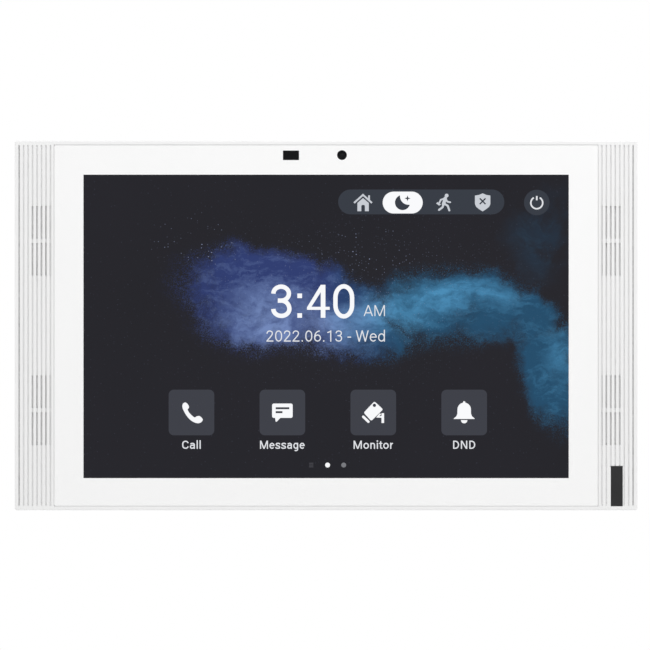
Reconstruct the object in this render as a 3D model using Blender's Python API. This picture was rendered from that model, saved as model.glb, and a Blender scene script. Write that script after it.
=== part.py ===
"""Wall-mounted touch-screen video intercom monitor, 10.1 inch, white.

Built in the row frame: the wall is the plane y = 0, the origin is the centre of the wall
bracket's back face, the front of the monitor looks along -Y, +Z is up and +X is to the right
when seen from the front. Sizes below are in millimetres and are turned into metres by place().
"""

import math

import bmesh
import bpy
from mathutils import Vector
from mathutils.geometry import tessellate_polygon

# ---------------------------------------------------------------- driving dimensions, mm
MM = 0.001
GAP = 0.3

HALF_W = 139.25
HALF_H = 82.6
CORNER_R = 0.9
RIM_Y = -26.0
FRAME_BACK_Y = -12.5
WALL_X = 2.0
WALL_Z = 1.8

# side strips with their grooves and sound slots
STRIP_IN_X = 121.7
STRIP_BACK_Y = -23.6
STRIP_RIB_X = 122.7
GROOVE_FIRST = 2.0
GROOVE_PITCH = 2.0
GROOVE_COUNT = 8
GROOVE_W = 0.7
GROOVE_DEPTH = 0.6
GROOVE_HALF_LEN = 80.6
SLOT_W = 0.8
SLOT_COLUMNS = (3, 4, 5, 6)
BLIND_COLUMN = 7
SLOT_ROWS = ((22.4, 36.8), (38.9, 53.4))

# cover glass, window and display
GLASS_HALF_W = 121.4
GLASS_HALF_H = 80.5
GLASS_Y = (-25.8, -24.7)
PRINT_Y = (-24.4, -24.25)
TAPE_Y = (-23.95, -23.15)
WINDOW_X = 108.5
WINDOW_Z = (-68.25, 67.45)
CELL_Y = (-22.85, -21.55)
PAN_X = 114.7
PAN_Z = (-77.8, 71.3)
PAN_Y = (-21.25, -18.15)
PLATE_Y = (-17.6, -16.6)
BOARD_Y = (-14.5, -12.9)
BOARD_Z = (2.0, 58.0)
BOARD_X = 88.0

# things behind the top border
CAMERA = (7.1, 76.2)
CAMERA_HOLE_R = 2.2
SENSOR = (-15.7, 76.1)
SENSOR_W = 7.2
SENSOR_H = 4.3

# plain badge plate on the right strip
BADGE_X = (127.4, 132.5)
BADGE_Z = (-80.7, -62.9)

# fixing points
BOSSES = [(sx * 128.0, z) for sx in (-1, 1) for z in (-72.0, 0.0, 72.0)]
STAKES = [(sx * 119.0, sz * 62.0) for sx in (-1, 1) for sz in (-1, 1)]
STANDOFFS = [(sx * 82.0, z) for sx in (-1, 1) for z in (8.0, 54.0)]

# rear housing, connector bay and wall bracket
TRAY_X = 138.05
TRAY_Z = 81.4
TRAY_Y = (-12.2, -9.5)
HUMP_X = 100.0
HUMP_Z = 62.0
HUMP_BACK_Y = -2.0
SHELL = 2.0
BAY_X = 52.0
BAY_Z = (-38.0, -2.0)
BAY_FLOOR_Y = -14.8
BRACKET_X = 84.0
BRACKET_Z = 48.0
BRACKET_T = 1.2
HOOK_X = 70.0
HOOK_W = 10.0
HOOK_ZS = (26.0, -38.0)
HOOK_LIP = 8.0
HOOK_REACH_Y = -5.6
LIFT_TRAVEL = 7.5

# speakers and microphones behind the strips
SPEAKER_X = 129.8
SPEAKER_Z = -38.0
SPEAKER_W = 13.2
SPEAKER_L = 34.0
MIC_X = 128.0
MIC_Z = 38.0

# connectors in the bay
JACK_X = (-46.0, -30.0)
JACK_Y = (-14.5, -4.3)
JACK_Z = (-2.2, 12.8)
HEADER_Y = (-12.6, -5.4)
HEADER_Z = (-2.2, 8.0)
IO_X = (-19.0, 13.0)
IO_PITCH = 3.5
IO_WAYS = 8
POWER_X = (27.0, 37.0)
POWER_PITCH = 3.81
POWER_WAYS = 2
RESET = (44.0, 16.0)

for old in list(bpy.data.objects):
    bpy.data.objects.remove(old, do_unlink=True)

NODES = {}
ORIGINS = {}


# ---------------------------------------------------------------- outlines in a plane
def rect(u0, u1, v0, v1):
    return [(u0, v0), (u1, v0), (u1, v1), (u0, v1)]


def rounded(u0, u1, v0, v1, r, n=4):
    corners = ((u1 - r, v0 + r, -90), (u1 - r, v1 - r, 0), (u0 + r, v1 - r, 90), (u0 + r, v0 + r, 180))
    points = []
    for cu, cv, start in corners:
        for i in range(n + 1):
            a = math.radians(start + 90.0 * i / n)
            points.append((cu + r * math.cos(a), cv + r * math.sin(a)))
    return points


def circle(cu, cv, r, n=20):
    return [(cu + r * math.cos(2 * math.pi * i / n), cv + r * math.sin(2 * math.pi * i / n)) for i in range(n)]


def racetrack(cu, cv, width, length, n=8):
    """An upright oval with straight sides, longer along the second axis."""
    r = width / 2
    h = length / 2 - r
    points = []
    for dv, start in ((h, 0), (-h, 180)):
        for i in range(n + 1):
            a = math.radians(start + 180.0 * i / n)
            points.append((cu + r * math.cos(a), cv + dv + r * math.sin(a)))
    return points


def obround(cu, cv, length, r, along_u=True, n=6):
    h = length / 2 - r
    points = []
    for side, start in ((1, -90), (-1, 90)):
        for i in range(n + 1):
            a = math.radians(start + 180.0 * i / n)
            u = side * h + r * math.cos(a)
            v = r * math.sin(a)
            points.append((cu + u, cv + v) if along_u else (cu - v, cv + u))
    return points


# ---------------------------------------------------------------- solids
def spot(axis, u, v, a):
    """A point from its two in-plane coordinates and its height along the named axis."""
    if axis == "y":
        return (u, a, v)
    if axis == "z":
        return (u, v, a)
    return (a, u, v)


def prism(outline, a0, a1, axis="y", holes=()):
    """A closed plate: the outline less its holes, from a0 to a1 along the axis."""
    bm = bmesh.new()
    loops = [outline] + [list(h) for h in holes]
    low = []
    high = []
    rings = []
    for loop in loops:
        ring_low = [bm.verts.new(spot(axis, u, v, a0)) for u, v in loop]
        ring_high = [bm.verts.new(spot(axis, u, v, a1)) for u, v in loop]
        rings.append((ring_low, ring_high))
        low += ring_low
        high += ring_high
    if holes:
        flat = [[Vector((u, v, 0)) for u, v in loop] for loop in loops]
        for tri in tessellate_polygon(flat):
            bm.faces.new([low[i] for i in tri])
            bm.faces.new([high[i] for i in tri])
    else:
        bm.faces.new(low)
        bm.faces.new(high)
    for ring_low, ring_high in rings:
        n = len(ring_low)
        for i in range(n):
            j = (i + 1) % n
            bm.faces.new((ring_low[i], ring_low[j], ring_high[j], ring_high[i]))
    bmesh.ops.recalc_face_normals(bm, faces=bm.faces)
    return bm


def block(x0, x1, y0, y1, z0, z1):
    return prism(rect(x0, x1, z0, z1), y0, y1)


def merged(parts):
    """One mesh holding several separate solids, used only as a cutter."""
    out = bmesh.new()
    for part in parts:
        shell = bpy.data.meshes.new("shell")
        part.to_mesh(shell)
        part.free()
        out.from_mesh(shell)
        bpy.data.meshes.remove(shell)
    return out


def helper(bm):
    mesh = bpy.data.meshes.new("helper")
    bm.to_mesh(mesh)
    bm.free()
    obj = bpy.data.objects.new("helper", mesh)
    bpy.context.collection.objects.link(obj)
    return obj


def boolean(bm, tools, operation):
    """The solid after each tool has been added to it or taken from it, by the exact solver."""
    host = helper(bm)
    others = []
    for tool in tools:
        other = helper(tool)
        others.append(other)
        step = host.modifiers.new("step", "BOOLEAN")
        step.operation = operation
        step.solver = "EXACT"
        step.object = other
    graph = bpy.context.evaluated_depsgraph_get()
    done = host.evaluated_get(graph)
    out = bmesh.new()
    out.from_mesh(done.data)
    for obj in [host] + others:
        mesh = obj.data
        bpy.data.objects.remove(obj, do_unlink=True)
        bpy.data.meshes.remove(mesh)
    bmesh.ops.remove_doubles(out, verts=out.verts, dist=0.0005)
    bmesh.ops.dissolve_limit(out, angle_limit=0.002, verts=out.verts, edges=out.edges)
    return out


def join(bm, *tools):
    return boolean(bm, tools, "UNION")


def cut(bm, *tools):
    return boolean(bm, tools, "DIFFERENCE")


def soften(bm, width, segments, test):
    """Bevels the edges whose two ends both pass the test."""
    edges = [e for e in bm.edges if all(test(v.co) for v in e.verts)]
    bmesh.ops.bevel(bm, geom=edges, offset=width, segments=segments, profile=0.5, affect="EDGES")
    return bm


def ribbon(x0, x1, path, thickness):
    """A flat cable as wide as x0 to x1 whose middle follows a path of (y, z) points."""
    left = []
    right = []
    for i, (y, z) in enumerate(path):
        before = Vector(path[max(i - 1, 0)])
        after = Vector(path[min(i + 1, len(path) - 1)])
        along = (after - before).normalized()
        if 0 < i < len(path) - 1:
            first = (Vector(path[i]) - before).normalized()
            reach = thickness / 2 / max(0.5, along.dot(first))
        else:
            reach = thickness / 2
        side = Vector((-along.y, along.x)) * reach
        left.append((y + side.x, z + side.y))
        right.append((y - side.x, z - side.y))
    return prism(left + right[::-1], x0, x1, axis="x")


def smooth_path(points, steps=4):
    """Points along a smooth line through the given ones."""
    pts = [Vector(p) for p in points]
    pts = [pts[0] * 2 - pts[1]] + pts + [pts[-1] * 2 - pts[-2]]
    out = []
    for i in range(1, len(pts) - 2):
        a, b, c, d = pts[i - 1], pts[i], pts[i + 1], pts[i + 2]
        for k in range(steps):
            t = k / steps
            out.append(0.5 * (2 * b + (c - a) * t + (2 * a - 5 * b + 4 * c - d) * t * t
                              + (3 * b - a - 3 * c + d) * t ** 3))
    out.append(pts[-2])
    return out


def wire(points, r, sides=8, steps=4):
    """A round lead along a smooth path, closed at both ends."""
    path = smooth_path(points, steps)
    bm = bmesh.new()
    rings = []
    up = Vector((0.0, 1.0, 0.0))
    for i, p in enumerate(path):
        along = (path[min(i + 1, len(path) - 1)] - path[max(i - 1, 0)]).normalized()
        side = along.cross(up).normalized()
        other = side.cross(along).normalized()
        up = other
        ring = []
        for k in range(sides):
            a = 2 * math.pi * k / sides
            ring.append(bm.verts.new(p + side * (r * math.cos(a)) + other * (r * math.sin(a))))
        rings.append(ring)
    for one, two in zip(rings, rings[1:]):
        for k in range(sides):
            j = (k + 1) % sides
            bm.faces.new((one[k], one[j], two[j], two[k]))
    bm.faces.new(rings[0])
    bm.faces.new(rings[-1])
    bmesh.ops.recalc_face_normals(bm, faces=bm.faces)
    return bm


def turned(cx, cz, profile, sides=20):
    """A solid turned about the Y axis through (cx, cz), from (radius, y) points, on-axis ends."""
    bm = bmesh.new()
    rings = []
    for r, y in profile:
        if r < 1e-6:
            rings.append([bm.verts.new((cx, y, cz))])
        else:
            rings.append([bm.verts.new((cx + r * math.cos(2 * math.pi * k / sides), y,
                                        cz + r * math.sin(2 * math.pi * k / sides)))
                          for k in range(sides)])
    for one, two in zip(rings, rings[1:]):
        for k in range(sides):
            j = (k + 1) % sides
            if len(one) == 1:
                bm.faces.new((one[0], two[j], two[k]))
            elif len(two) == 1:
                bm.faces.new((one[k], one[j], two[0]))
            else:
                bm.faces.new((one[k], one[j], two[j], two[k]))
    bmesh.ops.recalc_face_normals(bm, faces=bm.faces)
    return bm


# ---------------------------------------------------------------- finishes and placing
def finish(name, colour, roughness, metallic=0.0, alpha=1.0):
    mat = bpy.data.materials.new(name)
    mat.use_nodes = True
    shader = mat.node_tree.nodes["Principled BSDF"]
    shader.inputs["Base Color"].default_value = (*colour, 1.0)
    shader.inputs["Roughness"].default_value = roughness
    shader.inputs["Metallic"].default_value = metallic
    shader.inputs["Alpha"].default_value = alpha
    mat.diffuse_color = (*colour, alpha)
    return mat


def place(name, bm, origin, mat, parent=None, smooth=False):
    """Names the solid, puts its own origin where it belongs and hangs it on its parent."""
    home = Vector(origin)
    for v in bm.verts:
        v.co = (v.co - home) * MM
    bmesh.ops.recalc_face_normals(bm, faces=bm.faces)
    for f in bm.faces:
        f.smooth = False
    mesh = bpy.data.meshes.new(name)
    bm.to_mesh(mesh)
    bm.free()
    mesh.materials.append(mat)
    obj = bpy.data.objects.new(name, mesh)
    bpy.context.collection.objects.link(obj)
    if smooth:
        mesh.shade_smooth()
        mesh.set_sharp_from_angle(angle=math.radians(35))
    ORIGINS[name] = home
    NODES[name] = obj
    if parent:
        obj.parent = NODES[parent]
        home = home - ORIGINS[parent]
    obj.location = home * MM
    return obj


# ---------------------------------------------------------------- wall bracket
def build_wall_bracket():
    holes = [rounded(-50, 50, -37, -6, 2.0)]
    for sx in (-1, 1):
        for z0 in HOOK_ZS:
            x0 = sx * HOOK_X - HOOK_W / 2 - 0.4
            x1 = sx * HOOK_X + HOOK_W / 2 + 0.4
            holes.append(rect(x0, x1, z0 + BRACKET_T, z0 + BRACKET_T + 12.4))
        holes.append(obround(sx * 30.0, 0.0, 8.0, 2.2))
        for sz in (-1, 1):
            holes.append(circle(sx * 58.0, sz * 43.0, 2.3, 16))
    for sz in (-1, 1):
        holes.append(obround(0.0, sz * 41.65, 7.0, 2.2, along_u=False))
    outline = rounded(-BRACKET_X, BRACKET_X, -BRACKET_Z, BRACKET_Z, 3.0)
    plate = prism(outline, -BRACKET_T, 0.0, holes=holes)
    hooks = []
    for sx in (-1, 1):
        for z0 in HOOK_ZS:
            x0 = sx * HOOK_X - HOOK_W / 2
            x1 = sx * HOOK_X + HOOK_W / 2
            y0 = HOOK_REACH_Y
            profile = [
                (-0.6, z0), (y0 + 0.5, z0), (y0, z0 + 0.5), (y0, z0 + HOOK_LIP - 0.6),
                (y0 + 0.4, z0 + HOOK_LIP), (y0 + 0.8, z0 + HOOK_LIP),
                (y0 + BRACKET_T, z0 + HOOK_LIP - 0.6), (y0 + BRACKET_T, z0 + BRACKET_T),
                (-0.6, z0 + BRACKET_T),
            ]
            hooks.append(prism(profile, x0, x1, axis="x"))
    return join(plate, *hooks)


# ---------------------------------------------------------------- front frame
def groove_x(side, k):
    return side * (HALF_W - GROOVE_FIRST - GROOVE_PITCH * k)


def build_front_frame():
    body = prism(rounded(-HALF_W, HALF_W, -HALF_H, HALF_H, CORNER_R), RIM_Y, FRAME_BACK_Y)
    body = soften(body, 0.45, 2, lambda co: abs(co.y - RIM_Y) < 1e-4)
    in_x = HALF_W - WALL_X
    in_z = HALF_H - WALL_Z + 0.1
    ledge_back = CELL_Y[1] + 0.2
    hollows = [
        block(-in_x, in_x, ledge_back, FRAME_BACK_Y + 1, -in_z, in_z),
        block(-STRIP_IN_X, STRIP_IN_X, RIM_Y - 1, CELL_Y[0], -HALF_H + WALL_Z, HALF_H - WALL_Z),
        block(-116.5, 116.5, CELL_Y[0] - 0.5, ledge_back + 0.5, -HALF_H + 3.6, HALF_H - 2.8),
        block(-in_x, -STRIP_RIB_X, STRIP_BACK_Y, ledge_back + 0.5, -in_z - 0.05, in_z + 0.05),
        block(STRIP_RIB_X, in_x, STRIP_BACK_Y, ledge_back + 0.5, -in_z - 0.05, in_z + 0.05),
    ]
    body = cut(body, *hollows)
    posts = [prism(circle(x, z, 3.0, 16), STRIP_BACK_Y - 0.6, -13.0) for x, z in BOSSES]
    for x, z in STAKES:
        posts.append(block(x - 1.8, x + 1.8, ledge_back - 0.4, PLATE_Y[0] - GAP, z - 4, z + 4))
    body = join(body, merged(posts))
    body = join(body, merged([prism(circle(x, z, 1.1, 10), -18.4, PLATE_Y[1] + 0.8) for x, z in STAKES]))
    tools = []
    for s in (-1, 1):
        for k in range(GROOVE_COUNT):
            x = groove_x(s, k)
            low = -GROOVE_HALF_LEN
            if s > 0 and BADGE_X[0] - 0.5 < x < BADGE_X[1] + 0.5:
                low = BADGE_Z[1] - 0.5
            tools.append(block(x - GROOVE_W / 2, x + GROOVE_W / 2, RIM_Y - 1, RIM_Y + GROOVE_DEPTH,
                               low, GROOVE_HALF_LEN))
    recess = block(BADGE_X[0] - 0.15, BADGE_X[1] + 0.15, RIM_Y - 1.5, RIM_Y + 0.9,
                   BADGE_Z[0] - 0.15, BADGE_Z[1] + 0.15)
    body = cut(body, merged(tools), recess)
    tools = []
    for s in (-1, 1):
        for k in SLOT_COLUMNS + (BLIND_COLUMN,):
            x = groove_x(s, k)
            depth = STRIP_BACK_Y + 0.4 if k != BLIND_COLUMN else RIM_Y + 1.5
            for z0, z1 in SLOT_ROWS:
                for sz in (-1, 1):
                    zz = sorted((sz * z0, sz * z1))
                    tools.append(block(x - SLOT_W / 2, x + SLOT_W / 2, RIM_Y - 1, depth, zz[0], zz[1]))
    for x, z in BOSSES:
        tools.append(prism(circle(x, z, 1.45, 12), -20.5, -12.0))
    return cut(body, merged(tools))


# ---------------------------------------------------------------- display stack
def build_printed_border():
    holes = [
        rect(-WINDOW_X, WINDOW_X, *WINDOW_Z),
        circle(CAMERA[0], CAMERA[1], CAMERA_HOLE_R, 24),
        rect(SENSOR[0] - SENSOR_W / 2, SENSOR[0] + SENSOR_W / 2, SENSOR[1] - SENSOR_H / 2, SENSOR[1] + SENSOR_H / 2),
    ]
    return prism(rect(-GLASS_HALF_W + 0.2, GLASS_HALF_W - 0.2, -GLASS_HALF_H + 0.2, GLASS_HALF_H - 0.2),
                 *PRINT_Y, holes=holes)


def build_cover_adhesive():
    outline = [
        (-120.9, -80.0), (-80.0, -80.0), (-80.0, -77.9), (-64.0, -77.9), (-64.0, -80.0),
        (120.9, -80.0), (120.9, 80.0), (-120.9, 80.0),
    ]
    holes = [
        rect(-WINDOW_X - 1, WINDOW_X + 1, WINDOW_Z[0] - 1, WINDOW_Z[1] + 1),
        circle(CAMERA[0], CAMERA[1], 3.0, 20),
        rect(-20.4, -11.0, 72.9, 79.3),
    ]
    return prism(outline, *TAPE_Y, holes=holes)


def build_lcd_pan():
    body = block(-PAN_X, PAN_X, PAN_Y[0], PAN_Y[1], *PAN_Z)
    hollow = block(-PAN_X + 0.4, PAN_X - 0.4, PAN_Y[0] - 1, PAN_Y[1] - 0.4, PAN_Z[0] + 0.4, PAN_Z[1] - 0.4)
    return cut(body, hollow)


def build_mid_plate():
    outline = [
        (-120.5, -78.0), (-81.0, -78.0), (-81.0, -70.0), (-63.0, -70.0), (-63.0, -78.0), (120.5, -78.0),
        (120.5, 78.0), (14.0, 78.0), (14.0, 68.5), (-27.0, 68.5), (-27.0, 78.0), (-120.5, 78.0),
    ]
    holes = [rounded(56, 80, -68, -58, 1.5)]
    for x in (-100, -52, 28, 100):
        holes.append(rounded(x - 9, x + 9, -34, 34, 6.0))
    plate = prism(outline, *PLATE_Y, holes=holes)
    studs = [prism(circle(x, z, 2.6, 12), PLATE_Y[1] - 0.5, BOARD_Y[0] - GAP) for x, z in STANDOFFS]
    plate = join(plate, merged(studs))
    bores = [prism(circle(x, z, 1.35, 12), -19.0, -13.0) for x, z in STANDOFFS]
    bores += [prism(circle(x, z, 1.4, 10), -19.0, -13.0) for x, z in STAKES]
    return cut(plate, merged(bores))


# ---------------------------------------------------------------- main board and its parts
CHIPS = (
    # x0, x1, z0, z1, height
    (-7.5, 7.5, 27.0, 42.0, 1.2),
    (-15.0, -9.5, 28.0, 41.0, 1.0),
    (9.5, 15.0, 28.0, 41.0, 1.0),
    (34.0, 45.5, 36.0, 49.0, 1.0),
    (-52.0, -45.0, 40.0, 47.0, 1.0),
    (-46.0, -30.0, 18.0, 31.0, 5.2),
    (-72.0, -58.0, 36.0, 48.0, 2.2),
    (24.0, 31.0, 14.0, 21.0, 3.2),
    (52.0, 59.0, 36.0, 43.0, 3.2),
    (-8.0, -2.0, 14.0, 18.0, 1.4),
    (57.0, 79.0, 14.8, 19.0, 1.6),
    (-79.0, -65.0, 10.8, 15.0, 1.6),
    (3.4, 10.8, 45.4, 49.6, 1.5),
    (-21.0, -15.0, 45.4, 49.6, 1.5),
)


def build_main_board():
    outline = [
        (-BOARD_X, BOARD_Z[0]), (JACK_X[0] - 0.4, BOARD_Z[0]), (JACK_X[0] - 0.4, JACK_Z[1] + 0.4),
        (JACK_X[1] + 0.4, JACK_Z[1] + 0.4), (JACK_X[1] + 0.4, BOARD_Z[0]), (BOARD_X, BOARD_Z[0]),
        (BOARD_X, BOARD_Z[1]), (-BOARD_X, BOARD_Z[1]),
    ]
    board = prism(outline, *BOARD_Y, holes=[circle(x, z, 1.5, 12) for x, z in STANDOFFS])
    top = BOARD_Y[1]
    parts = [block(x0, x1, top - 0.4, top + h, z0, z1) for x0, x1, z0, z1, h in CHIPS]
    for x in (58.0, 68.0):
        parts.append(prism(circle(x, 50.0, 3.6, 14), top - 0.4, top + 6.2))
    parts.append(prism(circle(-26.0, 51.5, 1.2, 10), top - 0.4, top + 0.5))
    return join(board, merged(parts))


def build_shield():
    body = block(-18, 18, BOARD_Y[1] + GAP, BOARD_Y[1] + 2.6, 24, 44.4)
    return cut(body, block(-17.7, 17.7, BOARD_Y[1], BOARD_Y[1] + 2.3, 24.3, 44.1))


def build_jack():
    body = block(*JACK_X, *JACK_Y, *JACK_Z)
    mid = (JACK_X[0] + JACK_X[1]) / 2
    mouth = block(mid - 6.0, mid + 6.0, -13.2, -6.4, JACK_Z[0] - 1, 9.5)
    latch = block(mid - 3.0, mid + 3.0, -6.6, -5.2, JACK_Z[0] - 1, 6.0)
    body = cut(body, mouth, latch)
    springs = [block(mid - 3.55 + 1.016 * i - 0.18, mid - 3.55 + 1.016 * i + 0.18, -13.4, -12.3, -1.0, 9.7)
               for i in range(8)]
    return join(body, merged(springs))


def pole_x(span, pitch, ways):
    mid = (span[0] + span[1]) / 2
    return [mid + pitch * (i - (ways - 1) / 2) for i in range(ways)]


def build_header(span, pitch, ways):
    body = block(*span, *HEADER_Y, *HEADER_Z)
    body = cut(body, block(span[0] + 1, span[1] - 1, HEADER_Y[0] + 0.8, HEADER_Y[1] - 0.8, HEADER_Z[0] - 1, 6.5))
    pins = [block(x - 0.45, x + 0.45, -9.45, -8.55, -0.5, 7.0) for x in pole_x(span, pitch, ways)]
    return join(body, merged(pins))


def build_plug(span, pitch, ways):
    nose = block(span[0] + 1.3, span[1] - 1.3, HEADER_Y[0] + 1.1, HEADER_Y[1] - 1.1, -3.5, 5.8)
    body = join(block(*span, -12.4, -4.9, -14.0, -2.5), nose)
    tools = []
    for x in pole_x(span, pitch, ways):
        tools.append(block(x - 0.85, x + 0.85, -9.85, -8.15, -3.0, 7.0))
        tools.append(prism(circle(x, -9.4, 1.15, 10), -15.0, -8.5, axis="z"))
        tools.append(prism(circle(x, -6.6, 1.3, 10), -5.8, -4.0))
    return cut(body, merged(tools))


def build_screw(x, z, head_r, head_y, head_h, shank_r, shank_y):
    """A pan-head screw facing the wall, with a cross recess."""
    body = turned(x, z, [(0, shank_y), (shank_r * 0.7, shank_y), (shank_r, shank_y + 0.6), (shank_r, head_y),
                         (head_r, head_y), (head_r, head_y + head_h * 0.6),
                         (head_r * 0.72, head_y + head_h), (0, head_y + head_h)], 14)
    arm = head_r * 0.55
    top = head_y + head_h
    cross = join(block(x - arm, x + arm, top - 0.7, top + 1, z - 0.3, z + 0.3),
                 block(x - 0.3, x + 0.3, top - 0.7, top + 1, z - arm, z + arm))
    return cut(body, cross)


# ---------------------------------------------------------------- rear housing
def build_rear_housing():
    tray = prism(rounded(-TRAY_X, TRAY_X, -TRAY_Z, TRAY_Z, 1.5), *TRAY_Y)
    tray = soften(tray, 1.1, 2, lambda co: abs(co.y - TRAY_Y[1]) < 1e-4)
    hump = prism(rounded(-HUMP_X, HUMP_X, -HUMP_Z, HUMP_Z, 4.0), TRAY_Y[1] - 1.0, HUMP_BACK_Y)
    hump = soften(hump, 1.2, 2, lambda co: abs(co.y - HUMP_BACK_Y) < 1e-4)
    lip = prism(rect(-136.95, 136.95, -80.5, 80.5), -15.5, -11.8)
    body = join(tray, hump, lip)
    hollow_tray = block(-135.45, 135.45, -16.5, TRAY_Y[1] - SHELL, -79.0, 79.0)
    hollow_hump = prism(rounded(-HUMP_X + SHELL, HUMP_X - SHELL, -HUMP_Z + SHELL, HUMP_Z - SHELL, 2.0),
                        -13.0, HUMP_BACK_Y - SHELL)
    body = cut(body, hollow_tray, hollow_hump)
    bay = block(-BAY_X - 1.5, BAY_X + 1.5, BAY_FLOOR_Y - 1.3, HUMP_BACK_Y - 1.0, BAY_Z[0] - 1.5, BAY_Z[1] + 1.5)
    rings = [prism(circle(x, z, 3.6, 16), -12.7, -11.0) for x, z in BOSSES]
    body = join(body, bay, merged(rings))
    pocket = block(-BAY_X, BAY_X, BAY_FLOOR_Y, HUMP_BACK_Y + 1, *BAY_Z)
    body = cut(body, pocket)
    tools = [
        block(JACK_X[0] - GAP, JACK_X[1] + GAP, BAY_FLOOR_Y + 0.001, HUMP_BACK_Y - SHELL - 0.001, -3.0, 0.5),
    ]
    for span in (IO_X, POWER_X):
        tools.append(block(span[0] - GAP, span[1] + GAP, HEADER_Y[0] - GAP, HEADER_Y[1] + GAP, -3.0, 0.5))
    for x, z in BOSSES:
        tools.append(turned(x, z, [(0, -13.5), (1.6, -13.5), (1.6, -10.9), (2.9, -10.9), (2.9, -8.5), (0, -8.5)], 16))
    for sx in (-1, 1):
        for z0 in HOOK_ZS:
            tools.append(block(sx * HOOK_X - 6, sx * HOOK_X + 6, HUMP_BACK_Y - SHELL - 0.5, HUMP_BACK_Y + 0.5,
                               z0 - LIFT_TRAVEL - 0.8, z0 + BRACKET_T + GAP))
    tools.append(prism(circle(RESET[0], RESET[1], 1.9, 14), HUMP_BACK_Y - SHELL - 0.5, HUMP_BACK_Y + 0.5))
    for sz in (-1, 1):
        for i in range(16):
            x = -60.0 + 8.0 * i
            zz = sorted((sz * (HUMP_Z - SHELL - 0.5), sz * (HUMP_Z + 0.5)))
            tools.append(block(x - 0.8, x + 0.8, -8.8, -5.0, zz[0], zz[1]))
    return cut(body, merged(tools))


# ---------------------------------------------------------------- speakers
def build_speaker_frame(s):
    x = s * SPEAKER_X
    body = prism(racetrack(x, SPEAKER_Z, SPEAKER_W, SPEAKER_L), -21.6, -17.0)
    bowl = prism(racetrack(x, SPEAKER_Z, SPEAKER_W - 2.0, SPEAKER_L - 2.0), -22.6, -18.0)
    hole = prism(circle(x, SPEAKER_Z, 4.1, 16), -18.5, -16.0)
    body = cut(body, bowl)
    return cut(body, hole)


def build_speaker_cone(s):
    x = s * SPEAKER_X
    plate = prism(racetrack(x, SPEAKER_Z, 10.2, 31.0), -20.8, -20.4)
    roll = prism(racetrack(x, SPEAKER_Z, 9.8, 30.6), -21.2, -20.6, holes=[racetrack(x, SPEAKER_Z, 7.8, 28.6)])
    cap = turned(x, SPEAKER_Z, [(0, -21.7), (1.4, -21.55), (2.5, -21.15), (3.1, -20.6), (0, -20.6)], 16)
    former = prism(circle(x, SPEAKER_Z, 3.2, 16), -20.6, -15.2, holes=[circle(x, SPEAKER_Z, 2.85, 16)])
    return join(plate, roll, cap, former)


def build_speaker_magnet(s):
    x = s * SPEAKER_X
    return turned(x, SPEAKER_Z, [(0, -16.7), (2.45, -16.7), (2.45, -13.9), (3.6, -13.9), (3.6, -16.7),
                                 (4.8, -16.7), (4.8, -13.1), (4.4, -12.8), (0, -12.8)], 20)


def mirrored(points, s):
    return [(s * x, y, z) for x, y, z in points]


def build_speaker_lead(s):
    path = mirrored([(126.5, -16.2, -23.0), (126.3, -14.6, -18.0), (121.0, -14.0, -9.0), (108.0, -14.0, 5.0),
                     (99.0, -12.7, 13.0), (92.0, -11.4, 18.5), (85.0, -10.8, 20.0)], s)
    xs = sorted((s * 79.5, s * 86.0))
    return join(wire(path, 0.7), block(xs[0], xs[1], BOARD_Y[1] + GAP, -8.8, 17.0, 23.0))


def build_microphone_lead(s):
    path = mirrored([(127.5, -19.6, 33.5), (126.4, -16.2, 31.0), (120.0, -14.2, 29.5), (106.0, -14.0, 33.0),
                     (99.0, -12.7, 36.5), (92.0, -11.4, 39.5), (85.0, -10.8, 40.0)], s)
    xs = sorted((s * 79.5, s * 86.0))
    return join(wire(path, 0.55), block(xs[0], xs[1], BOARD_Y[1] + GAP, -9.2, 37.5, 42.5))


def build_microphone(s):
    x = s * MIC_X
    board = block(x - 4.0, x + 4.0, -21.4, -20.6, MIC_Z - 6, MIC_Z + 6)
    can = block(x - 1.9, x + 1.9, -22.5, -21.2, MIC_Z - 1.5, MIC_Z + 1.5)
    port = prism(circle(x, MIC_Z, 0.45, 8), -23.0, -22.1)
    return cut(join(board, can), port)


def build_camera():
    x, z = CAMERA
    body = join(block(x - 3.3, x + 3.3, -20.9, -17.9, z - 3.3, z + 3.3),
                prism(circle(x, z, 2.6, 20), -23.3, -20.5))
    return cut(body, prism(circle(x, z, 1.7, 16), -24.0, -22.3))


def build_light_sensor():
    return join(block(-25.0, -6.5, -21.0, -20.2, 72.7, 79.4), block(-18.0, -13.4, -22.6, -20.8, 74.6, 77.6))


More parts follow.
